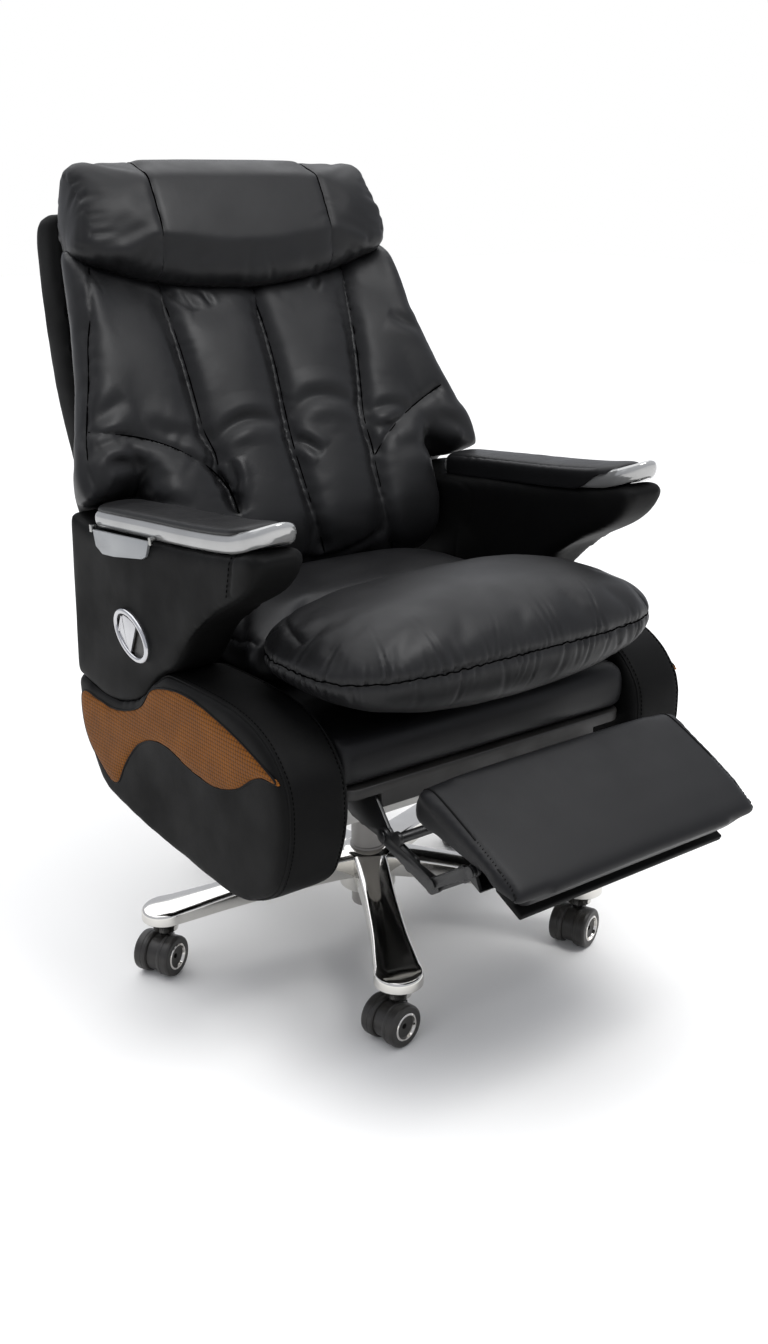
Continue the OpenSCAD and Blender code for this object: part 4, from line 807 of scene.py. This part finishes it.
for side, word in SIDES:
    panel = covered(word + "_panel", word + "_panel_cover", 6, 6, cover=2)
    fill_rear(panel)
    for inset, tag in ((7, "outer"), (90, "inner")):
        line = cut_line(panel, 0, side * (PANEL_X - inset))
        front = line[(line[:, 1] < 60) & (line[:, 2] > 236)]
        front = front[np.argsort(np.arctan2(front[:, 2] - 330, front[:, 1] - 60) % (2 * math.pi))]
        sew(panel, front, 1.6, 4)
        strip("%s_panel_welt_%s" % (word, tag), panel, front, 0.1, WELT_R, matte_leather, "seat")
        beside = front - [side * (5 if tag == "outer" else -5), 0, 0]
        stitch_row("%s_panel_stitches_%s" % (word, tag), panel, beside, "seat")
    finish_soft(panel, matte_leather, "seat", "matte_leather", 0.9, word + "_panel")


# Woven inserts: coarse brown basket weave of 5 mm strands over thin foam, with rolled edges.
def woven(name, strand, light, dark, gap_shade):
    """A basket weave in the YZ plane: strands cross over and under each other, darkening into the gaps as painted
    shade.
    """
    material, tree, shader, place = blank_material(name)
    axes = add(tree, "ShaderNodeSeparateXYZ", {"Vector": place})

    cells, bows = [], []
    for axis in "YZ":
        across = add(tree, "ShaderNodeMath", {0: axes.outputs[axis], 1: strand * MM}, operation="DIVIDE").outputs[0]
        cells.append(add(tree, "ShaderNodeMath", {0: across}, operation="FLOOR").outputs[0])
        part = add(tree, "ShaderNodeMath", {0: across}, operation="FRACT")
        turn = add(tree, "ShaderNodeMath", {0: part.outputs[0], 1: math.pi}, operation="MULTIPLY")
        bows.append(add(tree, "ShaderNodeMath", {0: turn.outputs[0]}, operation="SINE").outputs[0])
    count = add(tree, "ShaderNodeMath", {0: cells[0], 1: cells[1]}, operation="ADD")
    over = add(tree, "ShaderNodeMath", {0: count.outputs[0], 1: 2.0}, operation="FLOORED_MODULO")
    heights = []
    for crest, press in (bows, bows[::-1]):
        crown = add(tree, "ShaderNodeMath", {0: crest, 1: 0.45}, operation="POWER")
        dip = add(tree, "ShaderNodeMath", {0: press, 1: 0.45, 2: 0.55}, operation="MULTIPLY_ADD")
        heights.append(add(tree, "ShaderNodeMath", {0: crown.outputs[0], 1: dip.outputs[0]},
                           operation="MULTIPLY").outputs[0])
    height = add(tree, "ShaderNodeMix", {0: over.outputs[0], 2: heights[0], 3: heights[1]},
                 data_type="FLOAT").outputs[0]
    fibre = add(tree, "ShaderNodeTexNoise", {"Vector": place, "Scale": 1000 / 1.6, "Detail": 3.0}).outputs["Fac"]
    cloud = add(tree, "ShaderNodeTexNoise", {"Vector": place, "Scale": 1000 / 40, "Detail": 4.0})
    strands = add(tree, "ShaderNodeMix", {0: cloud.outputs["Fac"], 6: srgb(dark), 7: srgb(light)}, data_type="RGBA")
    # Painted shade: a strand's colour darkens where it dips under its neighbour and into the gaps.
    shade = add(tree, "ShaderNodeMapRange", {"Value": height, "From Min": 0.1, "From Max": 0.75})
    tint = add(tree, "ShaderNodeMix", {0: shade.outputs["Result"], 6: srgb(gap_shade), 7: strands.outputs[2]},
               data_type="RGBA")
    gloss = add(tree, "ShaderNodeMapRange", {"Value": fibre, "To Min": 0.5, "To Max": 0.75})
    knit = add(tree, "ShaderNodeBump", {"Height": height, "Strength": 0.8, "Distance": 0.9 * MM})
    fuzz = add(tree, "ShaderNodeBump", {"Height": fibre, "Strength": 0.4, "Distance": 0.15 * MM,
                                        "Normal": knit.outputs["Normal"]})
    return coat(material, shader, tint, gloss, fuzz, specular=0.15)


# Brown basket weave: warm strands that darken into the gaps as painted shade, dull all over.
basket_weave = woven("brown_basket_weave", 5.2, "#87500e", "#5e3507", "#201002")
INSERT_CROWN, INSERT_BACK, INSERT_FACE = 4.5, 346.0, 352.4
for side, word in SIDES:
    thick = cad_copy(word + "_insert", word + "_insert_weave")
    co = points(thick)[0]
    co[:, 0] = np.where(np.abs(co[:, 0]) < 350.8, side * INSERT_BACK, side * INSERT_FACE)
    place_points(thick, co)
    fill_rear(thick)
    even_out(thick, 3, 3)
    border = cut_line(thick, 0, side * 349)
    co = points(thick)[0]
    at, r, _, _, _, _ = near_line(border, co, 60)
    depth = np.full(len(co), 60.0)
    depth[at] = r
    face = ramp(np.abs(co[:, 0]), 348.5, 351.5)
    co[:, 0] += side * face * (INSERT_CROWN * (1 - np.exp(-depth / 7)) - 0.6)
    place_points(thick, co)
    finish_soft(thick, basket_weave, "seat", "woven_insert", 0.8, word + "_insert")
    rope = tube(border + [side * 2.6, 0, 0], WELT_R, closed=True)
    settle(make_piece(word + "_insert_welt", [rope], matte_leather), "seat", "black_leather")

# Armrest bodies: foam on a plywood core under matte leather, with an upright seam on the nose
# and a seam where the side cover meets the inner cover.
for side, word in SIDES:
    rest = covered(word + "_armrest", word + "_armrest_cover", 6, 5, cover=1.5)
    fill_rear(rest)
    nose = smooth_line([(side * 349, -196, 690), (side * 349, -198, 660), (side * 349, -190, 628)], 8)
    nose = lay_on(rest, nose + [side * 60, 0, 0], nose)
    sew(rest, nose, 1.6, 4)
    stitch_row(word + "_nose_stitches", rest, nose + [0, 5, 0], "seat")
    for inset in (6, 91):
        rim = cut_line(rest, 0, side * (PANEL_X - inset))
        sew(rest, rim, 0.9, 3.5, closed=True)
    finish_soft(rest, matte_leather, "seat", "matte_leather", 0.9, word + "_armrest")


# Arm bumpers: polished chrome-plated mouldings with a full round edge and nose, hollowed on top
# for the pad. The plan runs from the rear middle round the nose; heights follow the arm's rise.
ARM_X = 311
TRIM_W, TRIM_H, TRIM_REAR, TRIM_LEN = 74, 25, 162, 412
PAD_W, PAD_REAR, PAD_LEN, POCKET = 56, 115, 328, 8
TRIM_RISE = smooth_line([(-250, 703), (-233, 693), (-188, 678.4), (-102, 668), (26, 658), (162, 647)], 6).T
# Polished chrome plate: a mirror with a trace of haze, as grey as the photograph shows it.
chrome = metal("polished_chrome", "#adadac", "#969695", 0.1, 60, 8, 0.004, 0.55)
# Satin aluminium: blasted and anodised, so that its highlight is broad and soft.
satin_metal = metal("satin_aluminium", "#96989a", "#888a8c", 0.36, 30, 2, 0.01, 0.5)


def strip_plan(width, rear, length, corner=14):
    """Outline of a strip with a round nose, 120 points from the rear middle."""
    half = width / 2
    c = min(corner, half * 0.6)
    a = np.linspace(0, math.pi / 2, 9)
    side = np.stack([half - c + c * np.sin(a), rear - c + c * np.cos(a)], -1)
    run = np.stack([np.full(27, half), np.linspace(rear - c, rear - length + half, 29)[1:-1]], -1)
    b = np.linspace(0, math.pi / 2, 25)
    nose = np.stack([half * np.cos(b), rear - length + half - half * np.sin(b)], -1)
    one = np.concatenate([[[0, rear]], side, run, nose])
    return np.concatenate([one, (one * [-1, 1])[-2:0:-1]])


def arm_ring(plan, inset, up, side):
    """A ring of the arm bumper: the plan drawn in by the inset, at a height above the arm's line."""
    middle = np.stack([np.zeros(len(plan)), np.clip(plan[:, 1], plan[:, 1].min() + 37, plan[:, 1].max() - 37)], -1)
    way = middle - plan
    reach = np.maximum(np.linalg.norm(way, axis=1), 1e-6)[:, None]
    flat = plan + way / reach * np.minimum(inset, reach)
    z = np.interp(flat[:, 1], *TRIM_RISE) + up
    return np.column_stack([side * ARM_X + flat[:, 0], flat[:, 1], z])


# Across the arm: (out from the arm's middle, up from the bumper's line); the inner side hangs over it.
PAD_SECTION = smooth_line([
    (28, 21), (34, 24), (35.2, 27.5), (31, 32), (18, 34.5), (0, 35.5), (-18, 34.5), (-31, 32), (-38, 27), (-39.6, 20),
    (-39.4, 10), (-39, 1), (-36.5, -0.5), (-35, 4), (-34, 20), (0, 21)], 6, closed=True)
for side, word in SIDES:
    outer, inner = strip_plan(TRIM_W, TRIM_REAR, TRIM_LEN), strip_plan(PAD_W, PAD_REAR, PAD_LEN, 10)
    rings = [arm_ring(outer, 99, 1, side), arm_ring(outer, 9, 1, side)]
    for a in np.linspace(-75, 82, 14):
        a = math.radians(a)
        rings.append(arm_ring(outer, 8 * (1 - math.cos(a)), TRIM_H / 2 * (1 + math.sin(a)), side))
    for inset, drop in ((-1.6, 0), (-0.5, 0.3), (0, 1.2), (0, POCKET), (99, POCKET)):
        rings.append(arm_ring(inner, inset, TRIM_H - drop, side))
    settle(make_piece(word + "_bumper", [skin(rings)], chrome, 50), "seat", "chrome_trim", word + "_trim")
    stations = np.concatenate([[158, 156, 150], np.arange(140, -180, -10.0), np.linspace(-184, -211, 14)])
    pad_rings = []
    for y in stations:
        ahead, behind = ramp(y, -184, -211.5), ramp(y, 150, 158.2)
        round_off = math.sqrt(1 - max(ahead, behind) ** 2)
        u, w = PAD_SECTION[:, 0] * (0.45 + 0.55 * round_off), PAD_SECTION[:, 1]
        w = np.maximum(w, (TRIM_H - 3) * ramp(y, -150, -184) - 1)
        w = TRIM_H - 3 + (w - TRIM_H + 3) * (0.25 + 0.75 * round_off)
        z = np.interp(y, *TRIM_RISE) + w
        pad_rings.append(np.column_stack([side * (ARM_X + u), np.full(len(u), y), z]))
    rear, tip = (np.tile(pad_rings[k].mean(0), (len(u), 1)) for k in (0, -1))
    pad_rings = [rear] + pad_rings + [tip]
    pad = make_piece(word + "_arm_pad_cover", [skin(pad_rings)], black_leather, 180)
    relax(pad, 2)
    divide(pad)
    line = [(side * (ARM_X - 34), y, 0) for y in np.arange(150, -186, -8.0)]
    line = lay_on(pad, [(x, y, 900) for x, y, _ in line], line)
    sew(pad, line, 1.2, 4)
    gather(pad, line, 15, 16, 1.0, 31 + side)
    for row in (-12, 12):
        line = [(side * (ARM_X + row), y, 0) for y in np.arange(120, -190, -8.0)]
        gather(pad, lay_on(pad, [(x, y, 900) for x, y, _ in line], line), 30, 20, 0.8, 33 + side + row)
    finish_soft(pad, black_leather, "seat", "black_leather", 0.7, word + "_arm_pad")


# Release handle: an oval chrome bezel pressed into the right arm's side, dished to a floor,
# with a sprung chrome flap at its rear that a fingertip pulls; the floor is drawn black as painted shade.
BEZEL_PLACE = (-358, 54, 520)
BEZEL_A, BEZEL_B = 47, 31
BEZEL_TILT = math.radians(24)
BEZEL_PROFILE = [(0, 8), (0, 3.4), (0.5, 1.9), (1.6, 0.7), (3.2, 0.1), (4.8, 0.1), (6.6, 0.6), (7.6, 1.5), (8, 2.8),
                 (8, 8)]
DISH_PROFILE = [(7.6, 7.6), (7.6, 6.2), (12, 6.4), (22, 6.4), (30.9, 6.4)]


def oval_rings(profile):
    """Rings of an oval turned shape: each step is an inset from the bezel's edge and a depth from its face."""
    a = np.arange(96) * 2 * math.pi / 96
    rings = []
    for inset, depth in profile:
        u, v = (BEZEL_A - inset) * np.cos(a), (BEZEL_B - inset) * np.sin(a)
        rings.append(np.column_stack([
            np.full(96, BEZEL_PLACE[0] + depth), BEZEL_PLACE[1] + u * math.cos(BEZEL_TILT) - v * math.sin(BEZEL_TILT),
            BEZEL_PLACE[2] + u * math.sin(BEZEL_TILT) + v * math.cos(BEZEL_TILT)]))
    return rings


# Chrome plate on a pressing: bright, with a slight ripple.
handle_chrome = metal("handle_chrome", "#c9c9cb", "#a9a9ac", 0.16, 20, 5, 0.02)
bezel = make_piece("release_bezel", [skin(oval_rings(BEZEL_PROFILE), loop=True)], handle_chrome, 50)
settle(bezel, "seat", "chrome_handle", "handle_bezel")
# Painted shade: the recess floor is drawn in black nylon to stand for the shade inside the bezel.
dish = make_piece("release_dish_shade", [skin(oval_rings(DISH_PROFILE))], caster_nylon, 50)
settle(dish, "seat", "caster_plastic")
broken_edges("handle_flap", "release_flap_plate", handle_chrome, 0.7, "release_flap", "chrome_handle")

# Lift paddle: a die-cast tab with a satin finish on a plated pin.
broken_edges("height_paddle", "lift_paddle_tab", satin_metal, 1.2, "lift_paddle", "satin_paddle")
broken_edges("paddle_pin", "paddle_pin_plated", plated_steel, 0.3, "seat", "bare_steel")

# Recline hinge and footrest linkage: laser-cut steel bars with a black powder coat on plated,
# riveted pins; the cross tube ties the two swing arms.
for node, body in (("hinge_plates", "seat"), ("back_arms", "backrest"), ("link_brackets", "seat"),
                   ("swing_arms", "swing_arms"), ("cross_tube", "swing_arms"), ("guide_arms", "guide_arms"),
                   ("couplers", "couplers"), ("pad_links", "pad_links"), ("pad_brackets", "footrest")):
    broken_edges(node, node + "_coated", powder_coat, 0.5, body, "black_steel")
broken_edges("hinge_pins", "hinge_pins_plated", plated_steel, 0.5, "seat", "bare_steel")

# Back shell: foam over a plywood shell in matte leather, closed by two upright seams behind.
SHELL_HALF, SHELL_TAPER = 262, 0.035
shell = covered("back_shell", "back_shell_cover", 8, 6)
co = points(shell)[0]
co[:, 0] *= 1 - SHELL_TAPER * ramp(co[:, 2], 800, 550)
place_points(shell, co)
for side in (-1, 1):
    for inset in (7, 40):
        rim = cut_line(shell, 0, side * (SHELL_HALF - inset))
        sew(shell, rim, 1.4, 5, closed=True)
    stitch_row("shell_stitches_%d" % (side + 1), shell, rim + [side * 5, 0, 0], "backrest")
finish_soft(shell, matte_leather, "backrest", "matte_leather", 0.8, "back_shell")


# Back cushion: a soft cover over crushed foam, sewn down along three upright channels, with two
# wing covers over the armrests. The seams and the folds of slack leather lie where the
# photograph's rays to the back's plane meet the skin; each point is (x, z) on that plane.
LEAN = math.radians(25.7)
PLANE_Y, PLANE_Z = 103, 558
EYE = [c / MM for c in camera.location]
# How far the cover stands past its foam: its skin, the plump face, the wings and their tips, the
# tuck behind the seat, the wings' hem, and the shoulders under the headrest.
COVER_T = 2.5
PLUMP = np.array([0, -8, 2.5])
WING_FORWARD, WING_OUT, WING_TAPER = 22, 8, 30
TIP_FORWARD, TIP_OUT = 14, 10
TUCK, HEM, HEM_BEHIND = 34, 26, 60
SHOULDER, SHOULDER_OUT = 16, 6
CHANNELS = [
    [(-155, 959), (-149, 908), (-145, 852), (-144, 789), (-145, 752), (-134, 721), (-138, 703), (-127, 675),
     (-123, 639)],
    [(-1, 943), (7, 888), (7, 826), (2, 768), (0, 722), (2, 672), (5, 617), (3, 567)],
    [(177, 970), (175, 911), (164, 839), (149, 775), (141, 740), (144, 703), (139, 676), (138, 624), (127, 552)]]
WING_SEAMS = [
    [(-324, 769), (-284, 763), (-237, 752), (-194, 734), (-160, 712), (-137, 688), (-126, 664), (-123, 639)],
    [(312, 780), (252, 758), (204, 734), (167, 709), (144, 691)]]
SIDE_SEAM = [(-255, 980), (-271, 919), (-288, 884), (-300, 838), (-324, 776), (-337, 728), (-334, 700), (-331, 671)]
LOW_SEAM = [(-46, 565), (3, 560), (61, 567), (127, 587)]
HEAD_SEAM = [(-299, 981), (-252, 984), (-207, 978), (-158, 964), (-98, 952), (-34, 947), (35, 947), (109, 956),
             (167, 970), (226, 985), (276, 994)]
FOLDS = [
    ([(-135, 734), (-100, 755), (-58, 764), (-13, 754)], 6, 10), ([(-114, 711), (-114, 685), (-124, 671)], 5, 7),
    ([(8, 758), (47, 782), (99, 783), (139, 764)], 5, 11), ([(2, 726), (25, 721), (49, 703)], 5, 8),
    ([(248, 895), (300, 867)], 3.5, 10), ([(150, 751), (198, 761), (239, 753)], 3, 8),
    ([(155, 734), (201, 726)], 2.5, 7), ([(-322, 776), (-283, 794), (-252, 809)], 3.5, 12),
    ([(-336, 732), (-310, 750), (-275, 754)], 3, 9), ([(-309, 725), (-280, 725), (-258, 714)], 4, 8),
    ([(-266, 749), (-261, 731), (-258, 714)], 3.5, 7), ([(-319, 670), (-272, 669), (-230, 666), (-194, 654)], 4, 10),
    ([(191, 699), (246, 697), (297, 681)], 3, 12), ([(290, 738), (335, 717), (357, 690)], 3, 10),
    ([(-130, 745), (-180, 752), (-240, 768)], 3, 12), ([(-148, 950), (-120, 925), (-104, 915)], 3, 6),
    ([(-120, 945), (-98, 915)], 3, 6), ([(-85, 942), (-72, 920)], 2.5, 5), ([(128, 955), (118, 935)], 3, 5)]


def calmed(line, passes):
    """An open line smoothed between its ends."""
    for _ in range(passes if len(line) > 3 else 0):
        line[1:-1] = (line[:-2] + 2 * line[1:-1] + line[2:]) / 4
    return line


def traced(piece, pairs):
    """A line of the photograph on a piece of the back, from its (x, z) points on the back's plane."""
    aims = [(x, PLANE_Y + (z - PLANE_Z) * math.tan(LEAN), z) for x, z in smooth_line(pairs, 8)]
    return calmed(lay_on(piece, [EYE] * len(aims), aims), 5)


def face_share(out):
    """Share by which a place of the back faces the sitter."""
    return np.clip(0.8 + out @ front_way, 0, 1)[:, None]


def eased(share):
    """A share that starts and ends gently."""
    return share ** 2 * (3 - 2 * share)


back = covered("back_cushion", "back_cushion_cover", 7, 5, False)
front_way = np.array([0, -math.cos(LEAN), math.sin(LEAN)])
co, out = points(back)
aside = np.abs(co[:, 0])
wing = ramp(aside, 250, 340)
low = eased(ramp(co[:, 2], 600, 550))
hem = eased(ramp(co[:, 2], 735, 690) * ramp(aside, 246, 260))
tip = wing * ramp(co[:, 2], 745, 695)
co += front_way * ((WING_FORWARD * wing + TIP_FORWARD * tip) * (out @ front_way > -0.2))[:, None] + out * COVER_T
co += PLUMP * face_share(out)
co[:, 0] += np.sign(co[:, 0]) * (WING_OUT * wing + TIP_OUT * tip)
shoulder = ramp(co[:, 2], 900, 970) * ramp(np.abs(co[:, 0]), 190, 250)
co[:, 2] += SHOULDER * shoulder
co[:, 0] += np.sign(co[:, 0]) * SHOULDER_OUT * shoulder
behind = ramp((co - [0, PLANE_Y, PLANE_Z]) @ front_way, -20, -80)
co[:, 0] -= np.sign(co[:, 0]) * WING_TAPER * behind * ramp(np.abs(co[:, 0]), 225, 285)
co[:, 2] -= TUCK * low + hem * (HEM + HEM_BEHIND * ramp(co[:, 1], 232, 248))
place_points(back, co)
co, out = points(back)
held = np.where(out @ front_way < -0.3, 1.0, 0.0)
for pairs in CHANNELS + WING_SEAMS:
    at, r, _, _, _, _ = near_line(traced(back, pairs), co, 12)
    held[at] = np.maximum(held[at], np.clip(1.4 - r / 8, 0, 1))
swell(back, 0, 16, held, 0.004, 2)
divide(back)
for pairs in CHANNELS:
    line = traced(back, pairs)
    sew(back, line, 12, 15)
    gather(back, line, 26, 30, 1.2, len(pairs) + 40)
for pairs in WING_SEAMS + [LOW_SEAM]:
    line = traced(back, pairs)
    sew(back, line, 6, 9)
    gather(back, line, 26, 34, 1.2, len(pairs) + 50)
fold(back, traced(back, [(x, z - 14) for x, z in HEAD_SEAM[1:]]), -13, 30, 0)
line = traced(back, SIDE_SEAM)
sew(back, line, 3, 6)
gather(back, line, 26, 26, 0.8, 60)
for pairs, depth, width in FOLDS:
    line = traced(back, pairs)
    if len(line) > 4:
        fold(back, line, depth, width)
finish_soft(back, black_leather, "backrest", "black_leather", 0.6, "back_cushion")
# Near-black tubes sunk into the seams: the seams' thread, and painted shade that draws each groove as a dark line.
for k, pairs in enumerate(CHANNELS + WING_SEAMS + [SIDE_SEAM]):
    line = calmed(stick(back, traced(back, pairs), -0.4), 14)
    thread = make_piece("back_seam_shade_%d" % k, [tube(line, 1.1, ref=(0, -0.9, 0.43))], thread_and_seam_shade)
    settle(thread, "backrest", "black_leather")

# Headrest roll: one soft cover of three panels over the shell's top, gathered at both ends.
HEAD_SEAM_X, HEAD_SQUARE, HEAD_SLOPE = 148, 10, 13
head = covered("headrest", "headrest_cover", 6, 6, False)
co, out = points(head)
middle = (co.min(axis=0) + co.max(axis=0)) / 2
ends = ramp(np.abs(co[:, 0]), 150, 260) ** 2
spoke = (co - middle) * [0, 1, 1]
spoke /= np.linalg.norm(spoke, axis=1)[:, None]
behind = np.clip((co - middle) @ front_way / -60, -1, 1)
co += out * COVER_T + spoke * (HEAD_SQUARE * ends)[:, None]
co[:, 0] *= 1 + np.where(behind > 0, -0.06, -0.02) * behind
co[:, 0] -= np.sign(co[:, 0]) * HEAD_SLOPE * ends * ramp(co[:, 2], middle[2] - 15, middle[2] + 55)
co += 2 * PLUMP * face_share(out)
place_points(head, co)
co, out = points(head)
swell(head, 0, 12, np.where(out @ front_way < -0.4, 1.0, 0.0))
divide(head)
for side in (-1, 1):
    loop = cut_line(head, 0, side * HEAD_SEAM_X)
    sew(head, loop, 3.2, 6, closed=True)
    gather(head, loop, 30, 28, 0.8, 70 + side, closed=True)
    # Thread tube in the seam: partly painted shade that draws it as a dark line.
    strip("headrest_seam_shade_%d" % (side + 1), head, loop, 0.2, 1.0, thread_and_seam_shade, "backrest", closed=True)
    rim = cut_line(head, 0, side * 256)
    gather(head, rim, 17, 30, 1.8, 75 + side, closed=True)
line = traced(head, [(x, z + 14) for x, z in HEAD_SEAM])
fold(head, line, -13, 30, 0)
gather(head, line, 24, 30, 1.6, 80)
finish_soft(head, black_leather, "backrest", "black_leather", 0.7, "headrest")

# Footrest: a leather pad with a welt along each side over a black board wrapped in leather. It is
# shaped along its own slope, and keeps to its solid underneath, where the folded links pass.
FOOT_PLACE, FOOT_TILT = np.array([-387, 422]), math.radians(26)
FOOT_UP = np.array([-math.sin(FOOT_TILT), math.cos(FOOT_TILT)])
FOOT_WIDER, FOOT_COVER, FOOT_LOW = 0.02, 3.5, -34 * math.cos(FOOT_TILT)
foot = covered("footrest_pad", "footrest_cover", 6, 8, False)
co, out = points(foot)
off = co[:, 1:] - FOOT_PLACE
s_share, t_share = -(off @ [math.cos(FOOT_TILT), math.sin(FOOT_TILT)]) / 197, (off @ FOOT_UP) / 58
full = np.maximum(ramp(t_share, -0.4, -0.1), ramp(s_share, 0.7, 0.8))[:, None]
co += full * (co * [FOOT_WIDER, 0, 0] + out * FOOT_COVER)
drop = 30 * ramp(s_share, 0.7, 0.85) * ramp(t_share, -0.26, -0.38) * ramp(np.abs(co[:, 0]), 182, 174)
co[:, 1:] -= drop[:, None] * FOOT_UP
place_points(foot, co)
divide(foot)
for side, word in SIDES:
    rim = cut_line(foot, 0, side * 207)
    top = rim[(rim[:, 1:] - FOOT_PLACE) @ FOOT_UP > FOOT_LOW]
    top = top[np.argsort(-top[:, 1])]
    sew(foot, top, 1.5, 4)
    strip("footrest_welt_" + word, foot, top, 0.2, 1.3, matte_leather, "footrest")
finish_soft(foot, smooth_leather, "footrest", "black_leather", 0.85, "footrest_pad")
broken_edges("footrest_board", "footrest_board_wrapped", matte_leather, 3.0, "footrest", "black_board")
